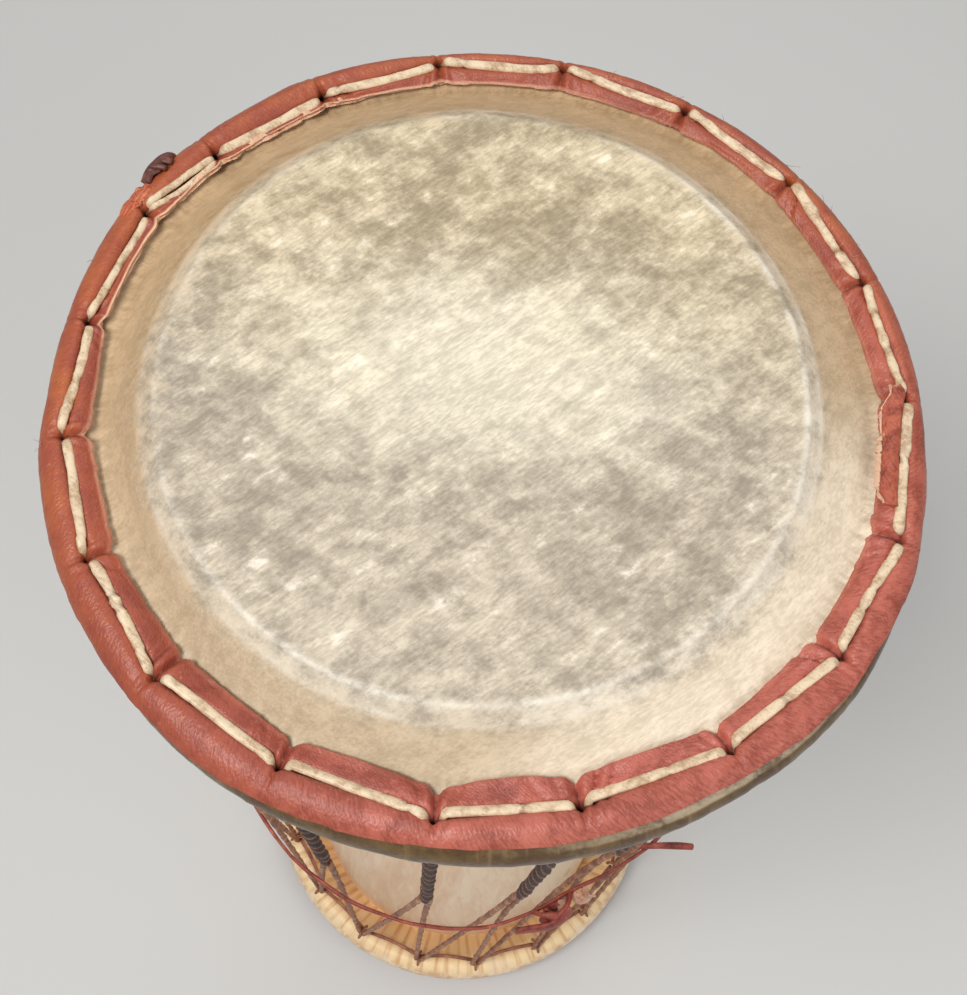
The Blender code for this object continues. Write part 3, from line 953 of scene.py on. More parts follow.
def makeBandEnd():
    piece = flapPiece
    deselect()
    bpy.ops.mesh.primitive_grid_add(x_subdivisions=piece["steps"], y_subdivisions=piece["rows"],
                                    size=1)
    obj = bpy.context.object
    obj.name = obj.data.name = "upperBandEnd"
    lip, maps = [], []
    for v in obj.data.vertices:
        u, w = v.co.x + 0.5, v.co.y + 0.5
        angle = piece["from"] + piece["sweep"] * u
        torn = 0.0007 * ripple(u * 22, 3.0) + 0.0003 * ripple(u * 70, 5.0)
        narrow = 1 - 0.8 * (1 - ease(u, -0.05, 0.22)) - 0.5 * ease(u, 0.85, 1.0)
        s = grooveShift(angle) - piece["outer"] - (piece["inner"] - piece["outer"] + torn) * narrow * w
        height = bandPiece["thickness"] + skin["gap"] + piece["lie"] + 0.0006 * sin(pi * w)
        height += piece["curl"] * (ease(w, 0.72, 1.0) * (1 + ripple(u * 9, 8.0))
                                   + 0.5 * ease(-w, -0.15, 0.0))
        height += 0.0004 * ripple(u * 14, w * 2.0, 1.0) + 0.0012 * (1 - ease(u, 0.0, 0.1))
        v.co = onRim("upper", angle, s, height)
        lip.append(max(ease(w, 0.84, 0.97), 0.6 * (1 - ease(u, 0.0, 0.05))))
        maps.append((radians(angle) * piece["mapRadius"], s))
    setMasks(obj, lip=lip)
    finishSheet(obj, maps, 1, piece["thickness"], [fleshLeatherMaterial()], "upper_rim_band", 60)


makeBandEnd()
print("band end done")


# cream rawhide lace, one long stitch between each two holes

lacePiece = {"width": 0.0027, "height": 0.0019, "sides": 14, "steps": 46, "seat": 0.00040,
             "plunge": 0.0042, "endGap": 0.0009, "loop": (0.0024, 0.0015, 10, 2.3), "loopShade": 0.15}
# each stitch's half twists (place along it, way), its width and how lumpy it is
laceMoods = [([(0.28, 1), (0.5, 1), (0.72, -1)], 0.8, 0.20), ([(0.55, 1)], 0.92, 0.10), ([], 0.95, 0.10),
             ([(0.36, 1), (0.47, 1)], 1.0, 0.28), ([], 1.0, 0.14), ([(0.85, 1)], 1.05, 0.05),
             ([(0.6, -1)], 1.0, 0.05), ([(0.58, -1)], 1.05, 0.05), ([(0.5, -1)], 1.05, 0.05),
             ([(0.38, -1), (0.56, -1)], 1.0, 0.05), ([(0.55, 1)], 1.1, 0.10),
             ([(0.4, 1), (0.7, 1)], 0.9, 0.26), ([(0.3, -1)], 0.95, 0.24), ([], 0.95, 0.18),
             ([(0.75, 1)], 0.95, 0.12), ([(0.8, -1)], 1.0, 0.08), ([(0.85, 1)], 0.95, 0.08),
             ([], 1.05, 0.06), ([(0.45, 1)], 0.95, 0.06)]


def rawhideMaterial():
    mat, tree, shader = newMaterial("rawhide", 0.42)
    here = objectPlace(tree)
    grain = grainOf(tree, here, 0.0005, 0.0005, 0.6)
    broad = noiseTone(tree, here, 240.0, 5.0, 0.65, 0.3)
    tone = timesPlus(tree, broad, 0.8, times(tree, grain["Tone"], 0.3))
    colour = ramp(tree, tone, [(0.36, linear(172, 138, 104)), (0.64, linear(224, 202, 170))])
    stain = ranged(tree, noiseTone(tree, here, 520.0, 3.0, 0.7), 0.64, 0.78, 0.0, 0.5)
    colour = blend(tree, stain, colour, linear(150, 96, 70))
    # painted shade from the mask
    dark = ranged(tree, mask(tree, "dark"), 0.0, 1.0, 0.0, 0.85)
    colour = blend(tree, dark, colour, linear(96, 52, 36))
    shader.inputs["Subsurface Weight"].default_value = 0.08
    shader.inputs["Subsurface Radius"].default_value = (0.004, 0.002, 0.001)
    surfaced(tree, shader, colour, timesPlus(tree, broad, 1.4, grain["Height"]), 0.00018, 0.6)
    return mat


def stitchStrand(number, mood, sideShift=0.0, thin=1.0):
    piece = lacePiece
    twists, thickness, lump = mood
    start, span = stitchSpan(number)
    length = radians(span) * stitchRadius(upperRim)
    points, ups, turns, widths, heights, dark = [], [], [], [], [], []
    for i in range(piece["steps"] + 1):
        t = i / piece["steps"]
        t -= 0.10 * sin(2 * pi * t)                # closer steps at both ends
        along = t * length
        fromEnd = min(along, length - along)
        inset = piece["endGap"] * (1 - ease(fromEnd, 0.0, 0.0035))
        place = clamp(t, 0, 1) * (length - 2 * inset) + inset
        angle = start + span * place / length
        groove = grooveShift(angle)
        floor = bandPiece["thickness"] + skin["gap"] - bandPiece["groove"]
        lie = floor + piece["height"] * 0.42 + piece["seat"]
        dive = piece["plunge"] * (1 - ease(fromEnd, 0.0002, 0.0030)) ** 1.2
        wave = 0.00022 * ripple(number * 3.7, t * 3.0, 2.0)
        shift = sideShift * sin(pi * t) ** 0.35 + between(-0.0007, 0.0005, t)
        points.append(onRim("upper", angle, groove + wave * 1.4 + shift, lie - dive + wave))
        foot, head = onRim("upper", angle, groove, 0.0), onRim("upper", angle, groove, 0.01)
        ups.append((head - foot).normalized())
        turn, near = 0.25 * ripple(number * 5.1, t * 2.0, 7.0), 0.0
        for where, way in twists:
            turn += way * pi * ease(t, where - 0.06, where + 0.06)
            near = max(near, hump(t - where, 0.045))
        lumps = 1 + lump * ripple(number * 2.3, t * 9.0, 1.0) * 1.6
        size = thickness * thin * lumps * (1 - 0.10 * near)
        taper = 0.82 + 0.18 * ease(fromEnd, 0.0, 0.004)
        turns.append(turn)
        widths.append(piece["width"] * size * taper)
        heights.append(piece["height"] * (0.9 + 0.1 * size) * (1 + 0.1 * near))
        # painted shade where the lace dives into its holes and in the crease of each half twist
        crease = max([hump(t - where, 0.012) for where, way in twists] + [0.0])
        dark.append(clamp(0.85 * (1 - ease(fromEnd, 0.0008, 0.0024)) + 0.5 * crease))

    def section(i):
        return ovalSection(widths[i], heights[i], turns[i], piece["sides"], 2.5)
    return sweepRings(points, ups, section), dark


def bendLoop(crest, level, angle, offsets, cord):
    # a loop of lace round a thong's bend, from (out, up) offsets
    out = polar(1, angle, 0)
    tangent = Vector((-out.y, out.x, 0))
    path = throughPoints([out * (crest + a) + Vector((0, 0, level + b)) for a, b in offsets], 0.0008)
    width, height, sides, power = cord
    return sweepRings(path, [tangent] * len(path),
                      lambda i: ovalSection(width, height, 0.0, sides, power))


def makeUpperLace():
    last = stitchCount - 1                         # the closing stitch is doubled
    laces = [stitchStrand(number, laceMoods[number]) for number in range(last)]
    laces += [stitchStrand(last, laceMoods[last], 0.0012, 0.78),
              stitchStrand(last, ([], 1.0, 0.08), -0.0011, 0.70)]
    # the lace comes out under the roll at each hole and holds the thong's bend
    drop = [(-0.0030, 0.0040), (-0.0034, 0.0), (-0.0028, -0.0042), (0.0, -0.0060),
            (0.0028, -0.0042), (0.0034, 0.0), (0.0030, 0.0040)]
    for hole in holeDegrees:
        rings = bendLoop(crestRadius(upperRim), upperRim["plane"] - upperRim["roll"], hole, drop,
                         lacePiece["loop"])
        # the loops under the roll get a little painted shade
        laces.append((rings, [lacePiece["loopShade"]] * len(rings)))
    obj = tubeObject("upperLace", [rings for rings, _ in laces], [dark for _, dark in laces])
    finishPiece(obj, [rawhideMaterial()], "rawhide_lace", "upper_rim_lace")


makeUpperLace()
print("upper lace done")


# turned wooden shell, smooth and pale

shellPiece = {"wall": 0.009, "waist": 0.043, "bellHeight": 0.195, "bellCurve": 1.35, "segments": 160,
              "bellSteps": 26, "toolMarks": 0.00008}


def paleWoodMaterial():
    mat, tree, shader = newMaterial("paleWood", 0.5)
    here = objectPlace(tree)
    along = placed(tree, here, scale=(1, 1, 0.10))
    grain = noiseTone(tree, along, 210.0, 5.0, 0.65, 0.8)
    broad = noiseTone(tree, placed(tree, here, scale=(1, 1, 0.25)), 26.0, 4.0, 0.6, 0.8)
    rings = addNode(tree, "TexWave", {"Vector": here, "Scale": 150.0, "Distortion": 1.5, "Detail": 2.0},
                    wave_type="BANDS", bands_direction="Z")["Fac"]
    tone = timesPlus(tree, grain, 0.45, times(tree, broad, 0.6))
    colour = ramp(tree, tone, [(0.36, linear(236, 198, 162)), (0.66, linear(253, 230, 200))])
    knots = ranged(tree, noiseTone(tree, here, 60.0, 3.0, 0.6), 0.66, 0.78, 0.0, 0.4)
    colour = blend(tree, knots, colour, linear(176, 138, 104))
    surfaced(tree, shader, colour, timesPlus(tree, rings, 0.25, grain), 0.00015, 0.5)
    return mat


def mouthArc(rim):
    bend = skin["edgeBend"]
    cr, cz = rim["edge"] - bend, rim["rise"] - bend
    radius = bend - skin["thickness"] - skin["gap"]
    arc = [(cr + radius * cos(a * pi / 16), cz + radius * sin(a * pi / 16)) for a in range(9)]
    inner = cr + radius - shellPiece["wall"]
    arc += [(inner + radius * (1 - sin(a * pi / 16)), cz + radius * cos(a * pi / 16))
            for a in range(1, 9)]
    return [(r, rim["plane"] + rim["up"] * z) for r, z in arc]


def bellWall(rim):
    piece = shellPiece
    mouthR, mouthZ = mouthArc(rim)[0]
    rows = []
    for i in range(piece["bellSteps"] + 1):
        s = i / piece["bellSteps"]
        radius = piece["waist"] + (mouthR - piece["waist"]) * sin(s * pi / 2) ** piece["bellCurve"]
        rows.append((radius, mouthZ - rim["up"] * piece["bellHeight"] * (1 - s)))
    return rows


def makeShell():
    piece = shellPiece
    low, high = bellWall(lowerRim), bellWall(upperRim)
    straight = [(piece["waist"], between(low[0][1], high[0][1], t / 6)) for t in range(1, 6)]
    wall = low[::-1] + straight + high
    normals = [profileNormal(wall, i) for i in range(len(wall))]
    inner = [(r + nr * piece["wall"], z + nz * piece["wall"]) for (r, z), (nr, nz) in zip(wall, normals)]
    topZ, bottomZ = mouthArc(upperRim)[-1][1], mouthArc(lowerRim)[-1][1]
    inner = [p for p in inner if bottomZ + 0.001 < p[1] < topZ - 0.001]
    outline = wall[:-1] + mouthArc(upperRim) + inner[::-1] + mouthArc(lowerRim)[::-1][:-1]
    obj = turnRings("drumShell", outline, piece["segments"])
    joinEnds(obj, len(outline), piece["segments"])
    for v in obj.data.vertices:
        x, y, z = v.co
        marks = sin(z * 2400) + 2 * ripple(x * 40, y * 40, z * 40)
        v.co = polar(hypot(x, y) + piece["toolMarks"] * marks, degrees(atan2(y, x)), z)
    outwardNormals(obj)
    smoothed(obj, 50)
    finishPiece(obj, [paleWoodMaterial()], "shell_wood", "shell")


makeShell()
print("shell done")


# lower head: skin drawn round the smaller hoop and gathered into pleats

lowerPiece = {"segments": 440, "pleats": 92, "pleatHeight": 0.00040, "rollFolds": 0.00018}


def paleSkinMaterial():
    mat, tree, shader = newMaterial("palePleatedSkin", 0.46)
    here = objectPlace(tree)
    pleat = mask(tree, "pleat")
    reach = mask(tree, "reach")
    folds = useGroup(tree, roundFolds, {"Vector": here, "Folds": 60.0, "Drift": 40.0})["Tone"]
    fine = noiseTone(tree, here, 300.0, 4.0, 0.6)
    broad = noiseTone(tree, here, 60.0, 4.0, 0.6)
    # painted shade: darker in the pleats' valleys, with streaks of fold tone
    pleatShadeAndFolds = ramp(tree, timesPlus(tree, folds, 0.6, times(tree, pleat, 0.45)),
                  [(0.16, linear(212, 160, 108)), (0.52, linear(248, 218, 168))])
    pleatShadeAndFolds = blend(tree, ranged(tree, broad, 0.5, 0.7, 0.0, 0.6), pleatShadeAndFolds, linear(238, 214, 184))
    outer = ramp(tree, timesPlus(tree, fine, 0.5, times(tree, broad, 0.5)),
                 [(0.38, linear(216, 174, 134)), (0.62, linear(246, 224, 192))])
    wander = timesPlus(tree, broad, 0.004, reach)
    colour = blend(tree, ranged(tree, wander, 0.1185, 0.1225), outer, pleatShadeAndFolds)
    flat = ramp(tree, timesPlus(tree, fine, 0.4, times(tree, broad, 0.7)),
                [(0.4, linear(188, 168, 124)), (0.7, linear(222, 206, 166))])
    colour = blend(tree, ranged(tree, reach, 0.098, 0.104), flat, colour)
    shader.inputs["Subsurface Weight"].default_value = 0.12
    shader.inputs["Subsurface Radius"].default_value = (0.006, 0.004, 0.002)
    surfaced(tree, shader, colour, timesPlus(tree, folds, 1.2, fine), 0.0002, 0.6)
    return mat


def makeLowerHead():
    piece, rim = lowerPiece, lowerRim
    outer = rimProfile(rim, skin["endDegrees"])
    rings = [(r, rim["rise"])
             for r in (skin["axisRadius"], 0.012, 0.024, 0.036, 0.048, 0.058, 0.066, 0.072)]
    flatCount = len(rings)
    rings += outer
    endCount = len(rings)
    rings += underSkin(rim, outer[-1], shares(12), (0.05,))
    obj = turnRings("lowerHead", [(r, rim["plane"] + rim["up"] * z) for r, z in rings], piece["segments"])
    reaches = runAlong(rings)
    normals = [profileNormal(rings, i) for i in range(len(rings))]
    pleatMask, reachMask = [], []
    for v in obj.data.vertices:
        ring = v.index // piece["segments"]
        angle = degrees(atan2(v.co.y, v.co.x)) % 360
        r, z = rings[ring]
        lift = 0.0
        rollAngle = degrees(atan2(z, r - crestRadius(rim)))
        gathered = flatCount + 20 < ring < endCount + 12 and (rollAngle < -35 or ring >= endCount)
        wave = sin(radians(angle) * piece["pleats"] + 2.2 * roundRipple(angle, 40))
        pleat = (0.5 + 0.5 * wave) * (0.7 + 0.6 * roundRipple(angle, 90, 3))
        if gathered:
            amount = ease(-rollAngle, 35, 90) if ring < endCount else 1.0
            amount *= 1 - 0.6 * ease(ring, endCount + 6, endCount + 12)
            lift = piece["pleatHeight"] * (pleat - 0.2) * amount
        elif ring > flatCount:
            lift = piece["rollFolds"] * roundRipple(angle, 160, reaches[ring] * 60)
        r, z = r + normals[ring][0] * lift, z + normals[ring][1] * lift
        v.co = polar(r, angle, rim["plane"] + rim["up"] * z)
        pleatMask.append(clamp(pleat))
        reachMask.append(reaches[ring])
    setMasks(obj, pleat=pleatMask, reach=reachMask)
    closeAtAxis(obj, len(rings), piece["segments"])
    outwardNormals(obj)
    smoothed(obj, 70)
    finishPiece(obj, [paleSkinMaterial()], "lower_skin", "lower_head")


makeLowerHead()
print("lower head done")


# tension lacing: a twisted pair from each upper hole, parting near the belt into two single thongs

thongPiece = {"radius": 0.00115, "bendSpacing": 0.00325, "pairRadius": 0.00165, "pairPitch": 0.0260,
              "pairLobes": 0.40, "pairSides": 12, "perTurn": 32, "skew": -6.8, "lowInset": 0.0002,
              "splitDrop": 0.172}
# the belt that draws the runs together, tied after them
beltPiece = {"radius": 0.1018, "thickness": 0.0024, "drop": 0.264, "knotDegrees": -66.0,
             "tailDegrees": -37.0}


def thongMaterial(name, deep, mid, pale, roughness=0.6):
    mat, tree, shader = newMaterial(name, roughness)
    here = objectPlace(tree)
    grain = grainOf(tree, here, 0.0006, 0.0006, 0.9)
    broad = noiseTone(tree, here, 150.0, 4.0, 0.65)
    height = addNode(tree, "SeparateXYZ", {0: here})["Z"]
    tone = timesPlus(tree, broad, 0.8, times(tree, grain["Tone"], 0.3))
    colour = ramp(tree, tone, [(0.38, deep), (0.55, mid), (0.74, pale)])
    shaded = times(tree, ranged(tree, height, 0.32, 0.44), 0.35)
    colour = blend(tree, shaded, colour, deep)
    # painted shade from the mask, in the valleys of the twisted pairs
    dark = ranged(tree, mask(tree, "dark"), 0.0, 1.0, 0.0, 0.92)
    colour = blend(tree, dark, colour, linear(34, 16, 12))
    surfaced(tree, shader, colour, timesPlus(tree, broad, 1.2, grain["Height"]), 0.0002, 0.6)
    return mat


def bendPoints(radius, angle, z, up):
    half = thongPiece["bendSpacing"] / 2
    turns = [pi * i / 6 for i in range(7)]
    return [polar(radius, angle - degrees(half * cos(a) / radius), z + up * half * sin(a)) for a in turns]


def beltReach(angle):
    # the belt's radius, drawn further in beside its knot
    return beltPiece["radius"] - 0.0058 * hump(turnGap(angle, -60.0), 17.0)


def onBelt(start, end):
    z = upperRim["plane"] - beltPiece["drop"]
    p = start.lerp(end, (start.z - z) / (start.z - end.z))
    angle = degrees(atan2(p.y, p.x))
    inset = beltPiece["thickness"] / 2 + skin["gap"] + thongPiece["radius"]
    return polar(beltReach(angle) - inset, angle, z)


def lacingPlan():
    # every run's bends, belt crossings and parting point
    piece = thongPiece
    halfTurn = skin["gap"] + 0.0013 + piece["bendSpacing"] / 2
    high = upperRim["plane"] - upperRim["roll"] - halfTurn
    low = lowerRim["plane"] + lowerRim["roll"] + halfTurn
    lowR = crestRadius(lowerRim) - piece["lowInset"]
    ups = [bendPoints(crestRadius(upperRim), a, high, 1) for a in holeDegrees]
    downs = [bendPoints(lowR, a + piece["skew"], low, -1) for a in holeDegrees]
    pinches = [onBelt(up[-1], down[0]) for up, down in zip(ups, downs)]
    plan = []
    for up, down, pinch in zip(ups, downs, pinches):
        top = (up[0] + up[-1]) / 2
        share = piece["splitDrop"] / (upperRim["plane"] - pinch.z)
        plan.append({"up": up, "down": down, "pinch": pinch, "top": top, "split": top.lerp(pinch, share)})
    return plan


plan = lacingPlan()


def outwards(p):
    return Vector((p.x, p.y, 0)).normalized()


def makeTwistedPairs():
    piece = thongPiece
    strands, marks = [], []
    spots = [2 * pi * n / piece["pairSides"] for n in range(piece["pairSides"])]
    for k, run in enumerate(plan):
        top, split = run["top"] - Vector((0, 0, 0.002)), run["split"]
        step = piece["pairPitch"] / piece["perTurn"]
        count = round((top - split).length / step)
        points = [top.lerp(split, i / count) for i in range(count + 1)]
        sections, dark = [], []
        for i in range(count + 1):
            t = i / count
            turn = 2 * pi * i / piece["perTurn"] + k * 1.7 + 1.2 * ripple(k * 2.7, t * 5)
            size = piece["pairRadius"] * (1 + 0.16 * ripple(k * 3.1, t * 16))
            size *= 0.6 + 0.4 * ease(1 - t, 0.0, 0.03)
            reach = [size * (1 + piece["pairLobes"] * cos(2 * (a - turn))) for a in spots]
            sections.append([(r * cos(a), r * sin(a)) for a, r in zip(spots, reach)])
            # painted shade in the valleys between the twisted strands
            dark.append([ease(-cos(2 * (a - turn) + 1.3), -0.3, 0.6) for a in spots])
        strands.append(sweepRings(points, [outwards(p) for p in points], lambda i: sections[i]))
        marks.append(dark)
    obj = tubeObject("twistedPairs", strands, marks)
    finishPiece(obj, [brownThong], "brown_thong", "tension_lacing")


def makeSingleRuns():
    piece = thongPiece
    strands = []
    for k, (here, after) in enumerate(zip(plan, plan[1:] + plan[:1])):
        side = (here["up"][-1] - here["up"][0]) * 0.25
        start = here["split"] + side + Vector((0, 0, 0.006))
        begin = here["split"] + side * 1.6
        back = after["split"] - side * 1.6
        pinchBack = onBelt(back, here["down"][-1])
        finish = after["split"] - side + Vector((0, 0, 0.006))
        path = [start, begin, here["pinch"]] + here["down"] + [pinchBack, back, finish]
        points = throughPoints(path, 0.0021)
        ups = [outwards(p) for p in points]

        def section(i):
            size = 2 * piece["radius"] * (1 + 0.12 * ripple(k * 1.9, i * 0.11))
            return ovalSection(size * 1.12, size * 0.86, i * 0.34 + k, 8, 2.3)
        strands.append(sweepRings(points, ups, section))
    for run in plan:                               # bends that hang in the upper lace's loops
        ends = [run["top"].lerp(run["up"][i], 0.7) - Vector((0, 0, 0.004)) for i in (0, -1)]
        points = throughPoints([ends[0]] + run["up"] + [ends[1]], 0.0008)
        strands.append(sweepRings(points, [outwards(p) for p in points],
                                  lambda i: ovalSection(0.0023, 0.0019, 0.0, 8, 2.2)))
    obj = tubeObject("singleRuns", strands)
    finishPiece(obj, [brownThong], "brown_thong", "tension_lacing")


brownThong = thongMaterial("brownThong", linear(104, 58, 42), linear(164, 106, 76), linear(216, 168, 128))
makeTwistedPairs()
makeSingleRuns()
print("lacing done")


# thin brown lace of the lower rim: loops that hold the bends, arcs between them on the roll

def makeLowerLace():
    piece, rim = thongPiece, lowerRim
    crest, top = crestRadius(rim), rim["plane"] + rim["roll"]
    strands = []
    centres = [a + piece["skew"] for a in holeDegrees]
    rise = [(-0.0044, -0.0040), (-0.0042, 0.0004), (-0.0034, 0.0038), (-0.0012, 0.0052),
            (0.0012, 0.0040), (0.0024, 0.0008), (0.0028, -0.0030)]
    for hole in centres:
        strands.append(bendLoop(crest, top, hole, rise, (0.0019, 0.0013, 8, 2.2)))
    for k, hole in enumerate(centres):
        span = stitchSpan(k)[1]
        points = []
        for i in range(41):
            t = i / 40
            sag = 0.0016 * sin(pi * t)
            a = radians(-104 - 6 * sin(pi * t))
            lie = rim["roll"] + 0.0009 - 0.0030 * (1 - ease(min(t, 1 - t), 0.0, 0.05))
            r, z = crest + lie * cos(a) - sag, -lie * sin(a)
            points.append(polar(r, hole + span * t, rim["plane"] + z))
        ups = [Vector((0, 0, 1))] * len(points)
        strands.append(sweepRings(points, ups, lambda i: ovalSection(
            0.0019, 0.0012, 0.3 * sin(i * 0.4 + k), 8, 2.2)))
    obj = tubeObject("lowerLaceLoops", strands)
    finishPiece(obj, [lowerThong], "brown_thong")


lowerThong = thongMaterial("lowerThong", linear(104, 58, 44), linear(150, 92, 70), linear(184, 130, 102))
makeLowerLace()


# underside band and lace of the lower rim, plainer

lowerBandPiece = {"rows": 12, "perStitch": 18, "innerWidth": 0.0085, "hem": 57, "thickness": 0.0013,
                  "puff": 0.0007, "laceRadius": 0.0012, "stitchLine": 0.098, "mapRadius": 0.1}


def makeLowerBand():
    piece, rim = lowerBandPiece, lowerRim
    segments = piece["perStitch"] * stitchCount
    outline = [(0.090 + 0.0005 * i, rim["plane"] - 0.015) for i in range(piece["rows"])]
    obj = turnRings("lowerBand", outline, segments)
    dark, lip, pale, maps = [], [], [], []
    for v in obj.data.vertices:
        row = v.index // segments
        angle = 360 * (v.index % segments) / segments
        share = alongStitch(angle)[2]
        u = row / (piece["rows"] - 1)
        hem = skin["stitchInset"] + radians(90 - piece["hem"]) * rim["roll"]
        inner = piece["innerWidth"] + 0.0011 * sin(pi * share) ** 0.7 + 0.0003 * roundRipple(angle, 80)
        s = between(-inner, hem, u)
        along = radians(nearestHole(angle)[0]) * rim["hoop"]
        gather = 1 - 0.6 * hump(along, 0.004)
        height = piece["thickness"] + skin["gap"] + piece["puff"] * gather * sin(pi * u) ** 0.8
        away = hypot(along, s)
        # painted shade in the crease at each hole and in the hole itself
        crease = hump(along, 0.0009) * (1 - u)
        height -= 0.0004 * crease + 0.0006 * hump(away, 0.0016)
        v.co = onRim("lower", angle, s, height)
        dark.append(clamp(0.6 * crease + 1.2 * hump(away, 0.0013)))
        lip.append(1 - u)
        pale.append(0.3)
        maps.append((radians(angle) * piece["mapRadius"], s))
    setMasks(obj, dark=dark, lip=lip, pale=pale)
    finishSheet(obj, maps, -1, piece["thickness"], bandLeather, "lower_rim_band", 65)
    strands = []
    for k in range(stitchCount):
        start, span = stitchSpan(k)
        points = []
        for i in range(33):
            t = i / 32
            fromEnd = min(t, 1 - t) * radians(span) * piece["stitchLine"]
            angle = start + span * between(0.03, 0.97, t)
            lie = piece["thickness"] + skin["gap"] + piece["puff"] + piece["laceRadius"] * 0.8
            height = lie - 0.0026 * (1 - ease(fromEnd, 0.0003, 0.003))
            points.append(onRim("lower", angle, 0.0, height))
        strands.append(sweepRings(points, [Vector((0, 0, -1))] * len(points), lambda i: ovalSection(
            0.0024, 0.0018, 0.2 * sin(i * 0.3), 8, 2.2)))
    lace = tubeObject("lowerLace", strands)
    finishPiece(lace, [lowerThong], "brown_thong", "lower_rim_lace")


makeLowerBand()
print("lower rim done")


# belt of red thong with its folded knot, pale flap and loose end

def makeBelt():
    piece = beltPiece
    z = upperRim["plane"] - piece["drop"]
    points = [polar(beltReach(a) + 0.0007 * roundRipple(a, 38), a, z + 0.0018 * roundRipple(a, 34, 2))
              for a in range(360)]
    points.append(points[0].copy())
    strands = [sweepRings(points, [outwards(p) for p in points], lambda i: ovalSection(
        0.0019 + 0.0004 * ripple(i * 0.16, 4.0), 0.0014, 0.7 * sin(i * 0.11), 8, 2.4))]

    def around(path, width, height, turn, twist):
        # path of (degrees, out, up) near the belt
        pts = throughPoints([polar(beltReach(a) + o, a, z + h) for a, o, h in path], 0.0008)
        last = len(pts) - 1
        strands.append(sweepRings(pts, [outwards(p) for p in pts], lambda i: ovalSection(
            width * (0.85 + 0.15 * sin(pi * i / last)), height, turn + twist * i / last, 10, 2.6)))
    k = piece["knotDegrees"]
    # overhand knot: two wraps, one strap folded over them
    around([(k - 4.6, 0.0004, -0.001), (k - 2.6, 0.0040, 0.0044), (k + 0.4, 0.0062, 0.0036),
            (k + 2.2, 0.0052, -0.0034), (k + 0.2, 0.0022, -0.0058), (k - 1.8, 0.0014, -0.001)],
           0.0036, 0.0020, 0.3, 0.8)
    around([(k + 5.0, 0.0004, 0.0), (k + 2.8, 0.0046, 0.0042), (k - 0.6, 0.0068, 0.0030),
            (k - 3.0, 0.0050, -0.0036), (k - 0.4, 0.0018, -0.0056), (k + 2.0, 0.0016, -0.0010)],
           0.0034, 0.0021, -0.2, -0.9)
    around([(k - 9.5, 0.0048, 0.0026), (k - 6.5, 0.0060, 0.0014), (k - 3.0, 0.0076, 0.0004),
            (k + 0.6, 0.0080, 0.0010), (k + 3.6, 0.0056, 0.0022)],
           0.0062, 0.0024, 0.15, 0.2)
    t = piece["tailDegrees"]
    around([(t - 4.2, -0.0030, 0.0004), (t - 0.4, 0.0030, 0.0006), (t + 2.2, 0.0082, -0.0006),
            (t + 4.2, 0.0130, -0.0028)], 0.0031, 0.0024, 0.0, 0.6)
    obj = tubeObject("beltThong", strands)
    finishPiece(obj, [redThong], "red_thong", "tension_belt")

    # leaf-shaped cut ends standing out of the knot: degrees, width, lean and droop
    leaves = []
    for a, width, lean, droop in ((k + 5.5, 0.0046, 3.2, -0.0050), (k + 8.2, 0.0042, 1.4, 0.0030),
                                  (k + 2.4, 0.0038, -1.2, -0.0085)):
        path = [(0.001, 0.0), (0.0048, 0.4), (0.0060, 1.0)]
        pts = throughPoints([polar(beltReach(a) + o, a + lean * w, z + droop * w) for o, w in path],
                            0.0006)
        last = len(pts) - 1
        ups = [(outwards(p) + Vector((0, 0, 0.5))).normalized() for p in pts]
        leaves.append(sweepRings(pts, ups, lambda i: ovalSection(
            width * (0.25 + 0.75 * sin(pi * (0.15 + 0.8 * i / last)) ** 0.7), 0.0011, 0.0, 10)))
    flaps = tubeObject("knotFlaps", leaves)
    finishPiece(flaps, [flapLeather], "red_thong", "tension_belt")


redThong = thongMaterial("redThong", linear(92, 34, 28), linear(150, 66, 52), linear(190, 104, 84), 0.5)
flapLeather = thongMaterial("flapLeather", linear(150, 84, 66), linear(204, 158, 130),
                            linear(226, 190, 162), 0.55)
makeBelt()
print("belt done")


# knotted thong end with frayed leather on the upper rim

knotPiece = {"degrees": 146.0}


def makeRimKnot():
    strands = []
    k = knotPiece["degrees"]

    def rimPath(path, width, height, turn, twist):
        # path of (degrees, out along the skin, height over it)
        pts = throughPoints([onRim("upper", a, s, h) for a, s, h in path], 0.0006)
        last = len(pts) - 1
        ups = [outwards(p) * 0.6 + Vector((0, 0, 0.8)) for p in pts]
        strands.append(sweepRings(pts, ups, lambda i: ovalSection(
            width * (0.55 + 0.45 * sin(pi * (0.08 + 0.84 * i / last))), height,
            turn + twist * i / last, 12, 2.4)))
    rimPath([(k + 2.9, 0.0070, 0.0020), (k + 1.6, 0.0064, 0.0036), (k, 0.0060, 0.0040),
             (k - 1.4, 0.0064, 0.0034), (k - 2.6, 0.0072, 0.0020)], 0.0044, 0.0028, 0.2, 0.7)
    rimPath([(k + 1.5, 0.0092, 0.0022), (k + 0.9, 0.0056, 0.0048), (k + 0.1, 0.0026, 0.0032)],
            0.0030, 0.0015, 0.0, 0.5)
    rimPath([(k - 0.8, 0.0096, 0.0020), (k - 0.6, 0.0060, 0.0046), (k - 1.3, 0.0028, 0.0030)],
            0.0026, 0.0014, 0.3, -0.6)
    rimPath([(k + 0.6, 0.0040, 0.0030), (k + 1.9, 0.0050, 0.0038), (k + 3.2, 0.0040, 0.0026)],
            0.0020, 0.0012, 0.5, 0.9)
    obj = tubeObject("rimKnot", strands)
    finishPiece(obj, [darkThong], "dark_thong", "rim_knot")


darkThong = thongMaterial("darkThong", linear(62, 32, 28), linear(106, 58, 48), linear(158, 98, 80), 0.5)
makeRimKnot()
print("rim knot done")


# loose fibres of leather: a frayed patch by the knot and a few strays round the rim

fibrePiece = {"frayCount": 34, "strayCount": 22, "frayWidth": 0.00115, "strayWidth": 0.00016}


